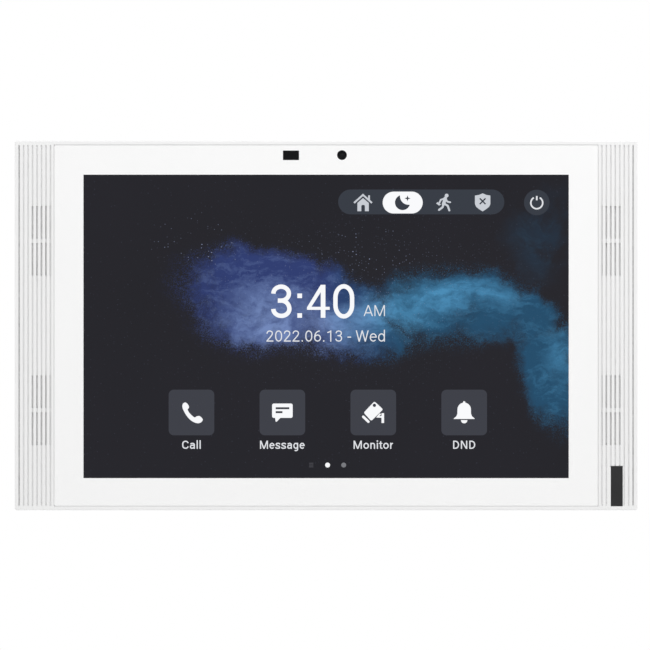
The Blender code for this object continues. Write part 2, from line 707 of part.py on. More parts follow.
# ---------------------------------------------------------------- assembly
def assemble():
    steel = finish("zinc_plated_steel", (0.62, 0.63, 0.64), 0.38, 1.0)
    white = finish("white_plastic", (0.84, 0.84, 0.83), 0.42)
    shell = finish("white_rear_plastic", (0.78, 0.78, 0.77), 0.5)
    clear = finish("clear_glass", (0.95, 0.97, 0.97), 0.03, 0.0, 0.25)
    ink = finish("white_ink", (0.88, 0.88, 0.88), 0.3)
    dark = finish("dark_badge", (0.03, 0.03, 0.03), 0.35)
    foam = finish("black_foam", (0.02, 0.02, 0.02), 0.85)
    cell = finish("display_cell", (0.02, 0.021, 0.026), 0.12)
    acrylic = finish("clear_acrylic", (0.88, 0.9, 0.92), 0.15)
    led = finish("led_strip", (0.82, 0.8, 0.62), 0.4)
    tin = finish("bright_sheet", (0.72, 0.72, 0.72), 0.3, 1.0)
    alloy = finish("aluminium_plate", (0.7, 0.71, 0.72), 0.35, 1.0)
    board = finish("circuit_board", (0.02, 0.16, 0.06), 0.45)
    can = finish("shield_can", (0.68, 0.68, 0.66), 0.28, 1.0)
    black = finish("black_plastic", (0.025, 0.025, 0.027), 0.45)
    green = finish("green_terminal", (0.03, 0.3, 0.1), 0.4)
    filter_dark = finish("dark_filter", (0.01, 0.01, 0.012), 0.1)
    lens = finish("lens_glass", (0.05, 0.05, 0.08), 0.04)
    amber = finish("amber_film", (0.45, 0.22, 0.04), 0.35)
    mesh = finish("dust_mesh", (0.05, 0.05, 0.05), 0.8)
    paper = finish("speaker_cone", (0.04, 0.04, 0.045), 0.55)
    nickel = finish("nickel_magnet", (0.66, 0.65, 0.63), 0.3, 1.0)
    wire_black = finish("black_wire", (0.03, 0.03, 0.03), 0.5)
    wire_grey = finish("grey_wire", (0.3, 0.3, 0.31), 0.5)
    screw = finish("screw_steel", (0.5, 0.5, 0.51), 0.3, 1.0)
    rubber = finish("grey_rubber", (0.12, 0.12, 0.12), 0.8)
    button = finish("red_button", (0.6, 0.05, 0.04), 0.4)

    place("wall_bracket", build_wall_bracket(), (0, 0, 0), steel)
    place("rear_housing", build_rear_housing(), (0, -9.5, 0), shell, "wall_bracket")
    place("front_frame", build_front_frame(), (0, -12.5, 0), white, "rear_housing")
    place("badge_plate", block(*BADGE_X, -25.95, -25.3, *BADGE_Z), (129.95, -25.3, -71.8), dark, "front_frame")
    glass = prism(rounded(-GLASS_HALF_W, GLASS_HALF_W, -GLASS_HALF_H, GLASS_HALF_H, 0.4, 2), *GLASS_Y)
    glass = soften(glass, 0.15, 1, lambda co: abs(co.y - GLASS_Y[0]) < 1e-4)
    place("cover_glass", glass, (0, -24.7, 0), clear, "front_frame")
    place("printed_border", build_printed_border(), (0, -24.25, 0), ink, "cover_glass")
    place("cover_adhesive", build_cover_adhesive(), (0, -23.15, 0), foam, "front_frame")
    place("lcd_cell", block(-113.9, 113.9, *CELL_Y, -77.0, 70.5), (0, -21.55, 0), cell, "front_frame")
    place("light_guide", block(-111.8, 111.8, -21.2, -18.85, -70.6, 69.0), (0, -18.85, 0), acrylic, "lcd_cell")
    place("led_bar", block(-111.8, 111.8, -21.0, -18.9, -76.4, -71.0), (0, -18.9, -73.7), led, "lcd_cell")
    place("lcd_pan", build_lcd_pan(), (0, -18.15, 0), tin, "lcd_cell")
    place("mid_plate", build_mid_plate(), (0, -16.6, 0), alloy, "front_frame")
    place("main_board", build_main_board(), (0, -12.9, 30), board, "mid_plate")
    place("processor_shield", build_shield(), (0, -12.6, 34.2), can, "main_board")
    place("ethernet_jack", build_jack(), (-38, -9.4, -2.2), can, "main_board")
    place("io_header", build_header(IO_X, IO_PITCH, IO_WAYS), (-3, -9, -2.2), green, "main_board")
    place("power_header", build_header(POWER_X, POWER_PITCH, POWER_WAYS), (32, -9, -2.2), green, "main_board")
    place("io_plug", build_plug(IO_X, IO_PITCH, IO_WAYS), (-3, -9, -2.5), green, "io_header")
    place("power_plug", build_plug(POWER_X, POWER_PITCH, POWER_WAYS), (32, -9, -2.5), green, "power_header")
    reset_body = block(RESET[0] - 3, RESET[0] + 3, -12.6, -9.1, RESET[1] - 3, RESET[1] + 3)
    place("reset_switch", reset_body, (RESET[0], -12.6, RESET[1]), black, "main_board")
    cap = prism(circle(RESET[0], RESET[1], 1.5, 16), -8.6, -2.5)
    place("reset_button", cap, (RESET[0], -8.6, RESET[1]), button, "reset_switch", True)
    place("camera_module", build_camera(), (CAMERA[0], -20.9, CAMERA[1]), black, "front_frame", True)
    lens_profile = [(0, -23.2), (0.7, -23.1), (1.2, -22.9), (1.5, -22.65), (1.5, -22.45), (0, -22.45)]
    place("camera_lens", turned(CAMERA[0], CAMERA[1], lens_profile, 16), (CAMERA[0], -22.45, CAMERA[1]), lens,
          "camera_module", True)
    camera_path = [(-17.5, 78.9), (-17.5, 75.2), (-17.2, 74.2), (-14.2, 68.2), (-12.75, 65.6), (-12.45, 64.6),
                   (-12.45, 50.0)]
    place("camera_flex", ribbon(4.6, 9.6, camera_path, 0.2), (7.1, -12.45, 50), amber, "camera_module")
    sensor = block(-19.9, -11.5, -23.95, -23.5, 73.4, 78.8)
    place("sensor_window", sensor, (SENSOR[0], -23.5, SENSOR[1]), filter_dark, "cover_glass")
    place("light_sensor_board", build_light_sensor(), (SENSOR[0], -20.2, SENSOR[1]), board, "front_frame")
    sensor_path = [(-19.85, 78.5), (-19.85, 76.4), (-19.5, 75.4), (-16.2, 71.2), (-13.0, 66.4), (-12.45, 65.0),
                   (-12.45, 50.0)]
    place("sensor_flex", ribbon(-20.0, -16.0, sensor_path, 0.2), (-18, -12.45, 50), amber, "light_sensor_board")
    lcd_path = [(-17.87, -75.0), (-17.87, -66.5), (-17.6, -65.2), (-16.3, -60.6), (-15.9, -58.5), (-15.9, -7.0),
                (-15.4, -5.6), (-12.95, -1.6), (-12.45, -0.4), (-12.45, 14.4)]
    place("lcd_flex", ribbon(58.0, 78.0, lcd_path, 0.2), (68, -12.45, 14.4), amber, "lcd_cell")
    touch_path = [(-23.9, -79.6), (-23.75, -78.7), (-23.2, -78.4), (-18.2, -78.4), (-17.2, -77.9),
                  (-16.2, -76.2), (-16.0, -74.8), (-15.9, -7.0), (-15.4, -5.6), (-12.95, -1.6),
                  (-12.45, -0.4), (-12.45, 10.4)]
    place("touch_flex", ribbon(-78.0, -66.0, touch_path, 0.2), (-72, -12.45, 10.4), amber, "cover_glass")
    place("wifi_antenna", block(-70, -30, -12.1, -11.8, 66.5, 75), (-50, -11.8, 70.75), amber, "rear_housing")
    antenna_path = [(-33.5, -12.9, 70.5), (-29.5, -13.1, 69.0), (-26.2, -12.9, 63.5), (-26.0, -11.8, 57.4),
                    (-26.0, -11.3, 53.0), (-26.0, -11.2, 51.5)]
    lead = join(wire(antenna_path, 0.5), prism(circle(-26.0, 51.5, 1.5, 12), -12.1, -11.0))
    place("antenna_lead", lead, (-26, -12.1, 51.5), wire_black, "wifi_antenna", True)

    for s, side in ((-1, "left"), (1, "right")):
        hole = [circle(s * 128.0, 0.0, 3.4, 14)]
        xs = sorted((s * 123.0, s * 132.6))
        place("grille_mesh_" + side, prism(rect(xs[0], xs[1], -56, 56), -23.3, -23.1, holes=hole),
              (s * 127.8, -23.1, 0), mesh, "front_frame")
        ring = prism(racetrack(s * SPEAKER_X, SPEAKER_Z, SPEAKER_W, SPEAKER_L), -22.8, -21.9,
                     holes=[racetrack(s * SPEAKER_X, SPEAKER_Z, 10.6, 31.4)])
        place("speaker_gasket_" + side, ring, (s * SPEAKER_X, -21.9, SPEAKER_Z), foam, "front_frame", True)
        place("speaker_frame_" + side, build_speaker_frame(s), (s * SPEAKER_X, -17.0, SPEAKER_Z), black,
              "front_frame", True)
        place("speaker_cone_" + side, build_speaker_cone(s), (s * SPEAKER_X, -20.6, SPEAKER_Z), paper,
              "speaker_frame_" + side, True)
        place("speaker_magnet_" + side, build_speaker_magnet(s), (s * SPEAKER_X, -16.7, SPEAKER_Z), nickel,
              "speaker_frame_" + side, True)
        place("speaker_lead_" + side, build_speaker_lead(s), (s * 82.75, -10.8, 20), wire_black,
              "speaker_frame_" + side, True)
        place("microphone_" + side, build_microphone(s), (s * MIC_X, -20.6, MIC_Z), board, "front_frame")
        place("microphone_lead_" + side, build_microphone_lead(s), (s * 82.75, -10.8, 40), wire_grey,
              "microphone_" + side, True)
        xs = sorted((s * 88.0, s * 94.0))
        pad = prism(rounded(xs[0], xs[1], -45, 45, 2.5, 3), -1.7, -0.3)
        place("wall_pad_" + side, pad, (s * 91, -1.7, 0), rubber, "rear_housing")

    for i, (x, z) in enumerate(BOSSES):
        body = build_screw(x, z, 2.5, -10.6, 1.05, 1.2, -19.0)
        place("housing_screw_%d" % (i + 1), body, (x, -10.6, z), screw, "rear_housing", True)
    for i, (x, z) in enumerate(STANDOFFS):
        body = build_screw(x, z, 2.4, -12.6, 1.4, 1.05, -17.0)
        place("board_screw_%d" % (i + 1), body, (x, -12.6, z), screw, "main_board", True)


assemble()
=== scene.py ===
"""Looks of the wall-mounted video intercom monitor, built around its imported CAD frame.

Row frame: the wall is the plane y = 0, the front looks along -Y, +Z is up. Lengths in this
script are millimetres unless a name says otherwise, and MM turns them into metres.
"""

import math

import bmesh
import bpy
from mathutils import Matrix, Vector
from mathutils.geometry import delaunay_2d_cdt


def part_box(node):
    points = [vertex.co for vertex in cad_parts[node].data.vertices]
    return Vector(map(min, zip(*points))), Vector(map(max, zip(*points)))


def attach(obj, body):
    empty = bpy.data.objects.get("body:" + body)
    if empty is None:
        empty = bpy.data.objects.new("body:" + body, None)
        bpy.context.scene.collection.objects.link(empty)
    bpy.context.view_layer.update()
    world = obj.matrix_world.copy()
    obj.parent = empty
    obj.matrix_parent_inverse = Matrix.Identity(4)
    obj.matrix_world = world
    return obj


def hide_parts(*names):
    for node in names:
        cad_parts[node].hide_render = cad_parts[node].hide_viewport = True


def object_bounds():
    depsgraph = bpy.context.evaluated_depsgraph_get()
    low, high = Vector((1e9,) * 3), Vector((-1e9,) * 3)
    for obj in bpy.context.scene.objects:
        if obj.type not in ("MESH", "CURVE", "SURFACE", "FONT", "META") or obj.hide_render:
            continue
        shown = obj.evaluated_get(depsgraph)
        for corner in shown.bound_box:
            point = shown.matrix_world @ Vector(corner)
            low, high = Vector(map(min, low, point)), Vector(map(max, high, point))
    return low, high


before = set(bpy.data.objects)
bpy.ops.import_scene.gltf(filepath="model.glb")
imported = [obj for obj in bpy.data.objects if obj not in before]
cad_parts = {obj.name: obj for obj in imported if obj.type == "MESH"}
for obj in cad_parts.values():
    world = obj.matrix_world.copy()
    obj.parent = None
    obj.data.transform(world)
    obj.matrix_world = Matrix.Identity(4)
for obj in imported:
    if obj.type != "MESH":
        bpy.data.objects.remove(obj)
CAD_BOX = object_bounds()

MM = 0.001
PER_MM = 1000.0
MERGE_MM = 0.0005
SHARP_DEG = 30.0

# ---------------------------------------------------------------- places taken from the frame
FRONT_Y = CAD_BOX[0].y / MM
GLASS_LOW, GLASS_HIGH = (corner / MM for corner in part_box("cover_glass"))
CELL_LOW, CELL_HIGH = (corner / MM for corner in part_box("lcd_cell"))
LENS_LOW, LENS_HIGH = (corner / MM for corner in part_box("camera_lens"))
FILTER_LOW, FILTER_HIGH = (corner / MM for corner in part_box("sensor_window"))
GLASS_Y = GLASS_LOW.y
PANEL_GROW = 0.2
CAMERA_X = (LENS_LOW.x + LENS_HIGH.x) / 2
CAMERA_Z = (LENS_LOW.z + LENS_HIGH.z) / 2
CAMERA_HOLE_R = 2.2
SENSOR_X = (FILTER_LOW.x + FILTER_HIGH.x) / 2
SENSOR_Z = (FILTER_LOW.z + FILTER_HIGH.z) / 2
SENSOR_W = 7.2
SENSOR_H = 4.3
HOLE_GAP = 0.03
PANE_SUNK = 0.04
PANE_THICK = 0.56
PANEL_THICK = 1.1

# the lit window in the printed border: a 10.1 inch panel's active area
WINDOW_X = CELL_HIGH.x - 5.4
WINDOW_Z = (CELL_LOW.z + 8.75, CELL_HIGH.z - 3.05)

# the sound slots in the side strips
SLOT_FIRST = 8.0
SLOT_PITCH = 2.0
SLOT_COLUMNS = 4
SLOT_WIDTH = 0.8
SLOT_ROWS = ((22.4, 36.8), (38.9, 53.4))
PAD_GAP = 0.04
PAD_OVERLAP = 0.02
PAD_FRONT_Y = FRONT_Y + 1.25
BLIND_FRONT_Y = FRONT_Y + 0.85
BLIND_THICK = 0.5

# the grey strip in the outermost groove of each strip: painted shade for the deep gap between strip and rim
SHADE_STRIP_INSET = 2.0
SHADE_STRIP_WIDTH = 0.46
SHADE_STRIP_HALF_LENGTH = 80.4
SHADE_STRIP_FRONT_Y = FRONT_Y + 0.5
SHADE_STRIP_THICK = 0.12

# the terminal plugs' poles, their clamp screws, and the network jack's contacts
IO_WAYS = 8
IO_PITCH = 3.5
POWER_WAYS = 2
POWER_PITCH = 3.81
CLAMP_RISE = 7.4
CLAMP_SUNK = 0.15
CLAMP_DEPTH = 0.65
CLAMP_R = 1.15
CLAMP_SLOT = 0.4
CONTACTS = 8
CONTACT_PITCH = 1.02
CONTACT_WIDTH = 0.4
CONTACT_THICK = 0.3

# ---------------------------------------------------------------- what the display shows
LAYER = 0.03
PICTURE_THICK = 0.6
PICTURE_Y = GLASS_Y + 0.04
TILE_Y = PICTURE_Y - LAYER
ICON_Y = TILE_Y - LAYER
MARK_Y = ICON_Y - LAYER

TILE_SIZE = 20.4
TILE_R = 2.3
TILE_PITCH = 40.65
TILE_FIRST_X = -60.2
TILE_Z = -38.9
LABEL_CAP = 3.65
LABEL_WEIGHT = 0.142
DATE_WEIGHT = 0.1
LIGHT_WEIGHT = 0.095
LABEL_BASE_Z = -55.15

PILL_X = (5.4, 79.7)
PILL_Z = (49.7, 60.8)
ACTIVE_X = (25.3, 43.2)
ACTIVE_Z = (50.1, 59.85)
ICON_ROW_Z = 55.0
HOUSE_X = 16.5
MOON_X = 34.2
RUNNER_X = 52.8
SHIELD_X = 70.0
POWER_X = 94.2
POWER_R = 5.7

CLOCK_X = -24.6
CLOCK_RIGHT_X = 26.3
CLOCK_TOP_Z = 18.4
CLOCK_HEIGHT = 15.3
DIGIT_STROKE = 1.95
DATE_X = -26.7
DOTS_Z = -62.4
DOT_R = 1.1
DOT_NOW_X = 0.67
DOT_NEXT_X = 7.87
LIST_X = (-7.6, -5.7)

# ---------------------------------------------------------------- studio
LENS_MM = 150.0
SENSOR_MM = 36.0
PICTURE_WIDTH = 290.6
AIM_X = -0.49
AIM_Z = 0.22
FLOOR_Z = -260.0
FLOOR_R = 430.0
DOME_TURN = (-0.985, -0.87)
DOME_LEVELS = (0.18, 0.85)


# ---------------------------------------------------------------- outlines in the XZ plane, mm
def arc(cx, cz, r, start, end, n=12, rz=None):
    """Points of an arc from the start angle to the end angle, in degrees."""
    points = []
    for i in range(n + 1):
        a = math.radians(start + (end - start) * i / n)
        points.append((cx + r * math.cos(a), cz + (rz or r) * math.sin(a)))
    return points


def disc(cx, cz, r, n=48):
    return arc(cx, cz, r, 0.0, 360.0 * (n - 1) / n, n - 1)


def box_outline(x0, x1, z0, z1, r=0.0, n=8):
    """An upright rectangle, with corners of radius r if that is given."""
    if r <= 0.0:
        return [(x0, z0), (x1, z0), (x1, z1), (x0, z1)]
    corners = ((x1 - r, z0 + r, -90), (x1 - r, z1 - r, 0), (x0 + r, z1 - r, 90), (x0 + r, z0 + r, 180))
    points = []
    for cx, cz, start in corners:
        points += arc(cx, cz, r, start, start + 90, n)
    return points


def curve_through(points, steps=6, closed=False):
    """Points along a smooth line through the given ones, which may join up into a ring."""
    pts = [Vector(p) for p in points]
    if closed:
        pts = [pts[-1]] + pts + [pts[0], pts[1]]
    else:
        pts = [pts[0] * 2 - pts[1]] + pts + [pts[-1] * 2 - pts[-2]]
    out = []
    for a, b, c, d in zip(pts, pts[1:], pts[2:], pts[3:]):
        for k in range(steps):
            t = k / steps
            out.append(0.5 * (2 * b + (c - a) * t + (2 * a - 5 * b + 4 * c - d) * t * t
                              + (3 * b - a - 3 * c + d) * t ** 3))
    if not closed:
        out.append(pts[-2])
    return [tuple(p) for p in out]


def pen_sides(points, width, ring):
    """The two edges of a line as wide as width, drawn along the points."""
    pts = [Vector(p) for p in points]
    last = len(pts) - 1
    left = []
    right = []
    for i, p in enumerate(pts):
        before = (p - pts[i - 1]).normalized() if i or ring else None
        after = (pts[(i + 1) % len(pts)] - p).normalized() if i < last or ring else None
        along = ((before or after) + (after or before)).normalized()
        reach = width / 2 / max(0.6, along.dot(after or before))
        side = Vector((-along.y, along.x)) * reach
        left.append(tuple(p + side))
        right.append(tuple(p - side))
    return left, right


def pen(points, width, rounded=False):
    """A line drawn with a pen as wide as width: cut square at its ends, or rounded."""
    left, right = pen_sides(points, width, False)
    outline = left + right[::-1]
    if rounded:
        ends = [disc(*p, width / 2, 20) for p in (points[0], points[-1])]
        return [shape(outline)] + [shape(end) for end in ends]
    return [shape(outline)]


def ring(points, width):
    """A closed line drawn with a pen as wide as width, round a hole."""
    left, right = pen_sides(points, width, True)
    return [shape(left, right) if abs(area(left)) > abs(area(right)) else shape(right, left)]


def oval(cx, low, high, half, width, straight=0.0):
    """A closed line as an oval that fills the given box, with straight sides in its middle."""
    mid = (low + high) / 2
    rise = (high - low - width - straight) / 2
    r = half - width / 2
    upper = arc(cx, mid + straight / 2, r, 0, 180, 14, rise)
    lower = arc(cx, mid - straight / 2, r, 180, 360, 14, rise)
    return ring(upper + lower if straight else upper[:-1] + lower[:-1], width)


def bar(x0, z0, x1, z1, width):
    """A straight line cut level at its two ends, such as the leg of a capital letter."""
    half = width / 2 * math.hypot(x1 - x0, z1 - z0) / abs(z1 - z0)
    return [shape([(x0 - half, z0), (x0 + half, z0), (x1 + half, z1), (x1 - half, z1)])]


def area(outline):
    """Signed area of an outline, positive if its points run anticlockwise."""
    return sum(a[0] * b[1] - b[0] * a[1] for a, b in zip(outline, outline[1:] + outline[:1])) / 2


def moved(outline, dx, dz):
    return [(x + dx, z + dz) for x, z in outline]


def shape(outline, *holes):
    """An outline and the holes in it, as add_plate takes them."""
    return (outline, holes)


def placed(shapes, dx, dz):
    """The same shapes, moved."""
    return [shape(*[moved(line, dx, dz) for line in (outline, *holes)]) for outline, holes in shapes]


# ---------------------------------------------------------------- meshes
def add_plate(bm, shapes, y_front, y_back):
    """Adds one closed plate between two depths: the union of the shapes, each less its holes."""
    points = []
    loops = []
    owners = []
    for outline, holes in shapes:
        owners.append((len(loops), set(range(len(loops) + 1, len(loops) + 1 + len(holes)))))
        for loop in (outline, *holes):
            loops.append(list(range(len(points), len(points) + len(loop))))
            points += [Vector(p) for p in (loop if area(loop) > 0.0 else loop[::-1])]
    found = delaunay_2d_cdt(points, [], loops, 0, MERGE_MM)
    flat, tris, inside = found[0], found[2], found[5]
    kept = [t for t, own in zip(tris, inside) if any(a in own and not b & set(own) for a, b in owners)]
    edges = {(t[k], t[(k + 1) % 3]) for t in kept for k in range(3)}
    used = sorted({i for t in kept for i in t})
    front = {i: bm.verts.new((flat[i].x, y_front, flat[i].y)) for i in used}
    back = {i: bm.verts.new((flat[i].x, y_back, flat[i].y)) for i in used}
    for side in (front, back):
        for t in kept:
            bm.faces.new([side[i] for i in t])
    for i, j in sorted(edges):
        if (j, i) not in edges:
            bm.faces.new((front[i], front[j], back[j], back[i]))


def add_sideways(bm, shapes, x_low, x_high):
    """Adds a plate whose outline lies in the YZ plane, between two places along X."""
    first = len(bm.verts)
    add_plate(bm, shapes, x_low, x_high)
    bm.verts.ensure_lookup_table()
    for v in bm.verts[first:]:
        v.co = Vector((v.co.y, v.co.x, v.co.z))


def add_turned(bm, cx, cz, profile, sides=48):
    """Adds a solid turned about the Y axis through (cx, cz), from (radius, y) points."""
    rings = []
    for r, y in profile:
        if r == 0.0:
            rings.append([bm.verts.new((cx, y, cz))])
        else:
            rings.append([bm.verts.new((x, y, z)) for x, z in disc(cx, cz, r, sides)])
    for one, two in zip(rings, rings[1:]):
        for k in range(sides):
            j = (k + 1) % sides
            if len(one) == 1:
                bm.faces.new((one[0], two[j], two[k]))
            elif len(two) == 1:
                bm.faces.new((one[k], one[j], two[0]))
            else:
                bm.faces.new((one[k], one[j], two[j], two[k]))


def piece(name, bm, material, body="monitor"):
    """Turns millimetres into metres, names the piece, and lets it ride on its body."""
    bmesh.ops.recalc_face_normals(bm, faces=bm.faces)
    for v in bm.verts:
        v.co *= MM
    mesh = bpy.data.meshes.new(name)
    bm.to_mesh(mesh)
    bm.free()
    mesh.materials.append(material)
    obj = bpy.data.objects.new(name, mesh)
    bpy.context.scene.collection.objects.link(obj)
    mesh.shade_smooth()
    mesh.set_sharp_from_angle(angle=math.radians(SHARP_DEG))
    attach(obj, body)
    return obj


def plate_piece(name, shapes, y_front, thickness, material):
    """A piece that is one plate, from its front face back."""
    bm = bmesh.new()
    add_plate(bm, shapes, y_front, y_front + thickness)
    return piece(name, bm, material)


def flat_piece(name, shapes, y_front, material):
    """One thin layer of what the display shows."""
    plate_piece(name, shapes, y_front, LAYER, material)


# ---------------------------------------------------------------- materials
COAT_ROUGHNESS = 0.06
RASTER_MM = 0.17

# ovals of the display's cloud: middle x and z, half width, half height, softness, lean
OVAL_REACH = 1.15
CLOUD_BODY = (
    (-29.0, 11.0, 45.0, 26.0, 0.6, 0.1),
    (4.0, 6.0, 34.0, 24.0, 0.7, 0.25),
    (18.0, -6.0, 26.0, 15.0, 0.8, 0.1),
    (60.0, 8.0, 42.0, 24.0, 0.75),
    (90.0, 4.0, 18.0, 18.0, 0.9),
    (101.0, -24.0, 20.0, 30.0, 0.8, 0.4),
)
CLOUD_CORE = (
    (-20.0, 1.0, 38.0, 18.0, 1.0, 0.12),
    (0.0, -2.0, 34.0, 14.0, 1.0, 0.02),
    (30.0, 4.0, 26.0, 12.0, 1.0),
    (58.0, 12.0, 34.0, 12.0, 1.0),
)
STAR_FIELDS = (
    (-55.0, 34.0, 24.0, 15.0, 1.0, 0.2),
    (14.0, 33.0, 36.0, 15.0, 1.0),
)


def linear(*levels):
    """Opaque linear colour from 0 to 255 display levels."""
    out = []
    for level in levels:
        c = level / 255.0
        out.append(c / 12.92 if c <= 0.04045 else ((c + 0.055) / 1.055) ** 2.4)
    return (*out, 1.0)


class Look:
    """One procedural material around a Principled shader, on object coordinates in millimetres."""

    def __init__(self, name, roughness=0.4, metallic=0.0, specular=0.5, coat=0.0):
        self.mat = bpy.data.materials.new(name)
        self.mat.use_nodes = True
        self.nodes = self.mat.node_tree.nodes
        self.links = self.mat.node_tree.links
        self.shader = self.nodes["Principled BSDF"]
        self.shader.inputs["Roughness"].default_value = roughness
        self.shader.inputs["Metallic"].default_value = metallic
        self.shader.inputs["Specular IOR Level"].default_value = specular
        self.shader.inputs["Coat Weight"].default_value = coat
        self.shader.inputs["Coat Roughness"].default_value = COAT_ROUGHNESS
        where = self.nodes.new("ShaderNodeTexCoord")
        self.mm = self.vector("SCALE", where.outputs["Object"], scale=PER_MM)

    def feed(self, socket, value):
        if isinstance(value, bpy.types.NodeSocket):
            self.links.new(value, socket)
        else:
            socket.default_value = value

    def paint(self, socket, value):
        """Feeds a colour socket from another socket, or from 0 to 255 display levels."""
        self.feed(socket, value if isinstance(value, bpy.types.NodeSocket) else linear(*value))

    def vector(self, operation, a, b=None, scale=None):
        node = self.nodes.new("ShaderNodeVectorMath")
        node.operation = operation
        self.feed(node.inputs[0], a)
        if b is not None:
            self.feed(node.inputs[1], b)
        if scale is not None:
            self.feed(node.inputs["Scale"], scale)
        return node.outputs["Value" if operation == "LENGTH" else "Vector"]

    def calc(self, operation, a, b=0.0, clamp=False):
        node = self.nodes.new("ShaderNodeMath")
        node.operation = operation
        node.use_clamp = clamp
        self.feed(node.inputs[0], a)
        self.feed(node.inputs[1], b)
        return node.outputs[0]

    def times(self, a, b, clamp=False):
        return self.calc("MULTIPLY", a, b, clamp)

    def plus(self, a, b, clamp=False):
        return self.calc("ADD", a, b, clamp)

    def split(self, vector):
        node = self.nodes.new("ShaderNodeSeparateXYZ")
        self.links.new(vector, node.inputs[0])
        return node.outputs

    def span(self, value, low, high, to_low=0.0, to_high=1.0):
        """The value eased from one range into another."""
        node = self.nodes.new("ShaderNodeMapRange")
        node.interpolation_type = "SMOOTHSTEP"
        self.feed(node.inputs["Value"], value)
        for key, number in (("From Min", low), ("From Max", high), ("To Min", to_low), ("To Max", to_high)):
            self.feed(node.inputs[key], number)
        return node.outputs["Result"]

    def noise(self, size, detail=3.0, rough=0.5, where=None, stretch=None, output="Fac"):
        """Noise whose features measure about size millimetres."""
        node = self.nodes.new("ShaderNodeTexNoise")
        node.inputs["Scale"].default_value = 1.0 / size
        node.inputs["Detail"].default_value = detail
        node.inputs["Roughness"].default_value = rough
        where = where or self.mm
        if stretch:
            where = self.vector("MULTIPLY", where, stretch)
        self.links.new(where, node.inputs["Vector"])
        return node.outputs[output]

    def cells(self, size, output="Distance", feature="F1", randomness=1.0):
        """Cells about size millimetres across: the distance to each cell's middle, or its own colour."""
        node = self.nodes.new("ShaderNodeTexVoronoi")
        node.feature = feature
        node.inputs["Scale"].default_value = 1.0 / size
        node.inputs["Randomness"].default_value = randomness
        self.links.new(self.mm, node.inputs["Vector"])
        return node.outputs[output]

    def mix(self, share, a, b):
        node = self.nodes.new("ShaderNodeMix")
        node.data_type = "RGBA"
        self.feed(node.inputs["Factor"], share)
        self.paint(node.inputs[6], a)
        self.paint(node.inputs[7], b)
        return node.outputs[2]

    def colour(self, value):
        self.paint(self.shader.inputs["Base Color"], value)

    def tint(self, share, low, high):
        """Base colour between two display levels."""
        self.colour(self.mix(share, low, high))

    def rough(self, value):
        self.feed(self.shader.inputs["Roughness"], value)

    def relief(self, height, depth):
        """Bump from a 0 to 1 height, depth in millimetres."""
        node = self.nodes.new("ShaderNodeBump")
        node.inputs["Distance"].default_value = depth * MM
        self.links.new(height, node.inputs["Height"])
        self.links.new(node.outputs["Normal"], self.shader.inputs["Normal"])

    def glow(self, value):
        self.paint(self.shader.inputs["Emission Color"], value)
        self.shader.inputs["Emission Strength"].default_value = 1.0


def moulded(name, level, roughness=0.42, grain=0.35, depth=0.012, coat=0.0, tone=2.0):
    """Moulded plastic: a fine spark-eroded grain, slow flow shading and finger-worn gloss."""
    look = Look(name, roughness, coat=coat)
    look.tint(look.noise(38.0, 3.0, 0.5), [c - tone for c in level], [c + tone for c in level])
    look.rough(look.span(look.noise(14.0, 4.0, 0.6), 0.3, 0.7, roughness - 0.05, roughness + 0.05))
    look.relief(look.noise(grain, 2.0, 0.6), depth)
    return look.mat


def sheet_metal(name, level, roughness=0.35, spangle=0.0, lay=None, depth=0.004):
    """Metal sheet: a rolling lay or a plated spangle, with slow blotches."""
    look = Look(name, roughness, metallic=1.0)
    patches = look.split(look.cells(spangle, "Color"))[0] if spangle else look.noise(9.0, 3.0)
    look.tint(patches, [c * 0.91 for c in level], level)
    lines = look.noise(0.25, 3.0, 0.6, stretch=lay or (1.0, 1.0, 0.04))
    look.rough(look.span(lines, 0.25, 0.75, roughness - 0.1, roughness + 0.12))
    look.relief(lines, depth)
    return look.mat


def soft_rubber(name, level, roughness=0.75, grain=0.25, depth=0.03):
    """Rubber, foam or cable jacket: mottled, with a pebbled surface and uneven dullness."""
    look = Look(name, roughness, specular=0.3)
    look.tint(look.noise(2.5, 4.0, 0.7), [c * 0.8 for c in level], [c * 1.25 for c in level])
    look.relief(look.cells(grain), depth)
    look.rough(look.span(look.noise(1.2, 3.0), 0.3, 0.7, roughness - 0.08, roughness + 0.1))
    return look.mat


def lit_ink(name, level, dim=0.97):
    """A lit area of the display, with the faint unevenness of its backlight and pixel raster."""
    look = Look(name, 0.14, specular=0.25)
    look.colour((8, 8, 9))
    uneven = look.times(look.noise(26.0, 2.0), 0.6)
    raster = look.times(look.cells(RASTER_MM, randomness=0.0), 0.075)
    share = look.plus(look.plus(uneven, raster), 0.15, clamp=True)
    look.glow(look.mix(share, level, [c * dim for c in level]))
    return look.mat


def centred(look, value, size):
    """A push of up to size / 2 millimetres either way along each axis, from a noise's colour."""
    return look.vector("SCALE", look.vector("SUBTRACT", value, (0.5, 0.5, 0.5)), scale=size)


def oval_mask(look, where, cx, cz, half_x, half_z, soft=0.55, lean=0.0):
    """1 in the middle of an oval, easing to 0 past its edge; lean shears it."""
    part = look.split(look.vector("SUBTRACT", where, (cx, 0.0, cz)))
    tilt = look.plus(part[2], look.times(part[0], lean))
    u = look.calc("POWER", look.calc("ABSOLUTE", look.calc("DIVIDE", part[0], half_x)), 2.0)
    v = look.calc("POWER", look.calc("ABSOLUTE", look.calc("DIVIDE", tilt, half_z)), 2.0)
    return look.span(look.calc("SQRT", look.plus(u, v)), OVAL_REACH, OVAL_REACH - soft)


def oval_group(look, where, ovals):
    """The highest of a group of ovals at each place."""
    masks = [oval_mask(look, where, *oval) for oval in ovals]
    whole = masks[0]
    for mask in masks[1:]:
        whole = look.calc("MAXIMUM", whole, mask)
    return whole


def specks(look, size, low, high, share):
    """Round specks about size apart, only some of them lit."""
    spot = look.span(look.cells(size), high, low)
    return look.times(spot, look.span(look.split(look.cells(size, "Color"))[0], share, 1.0))


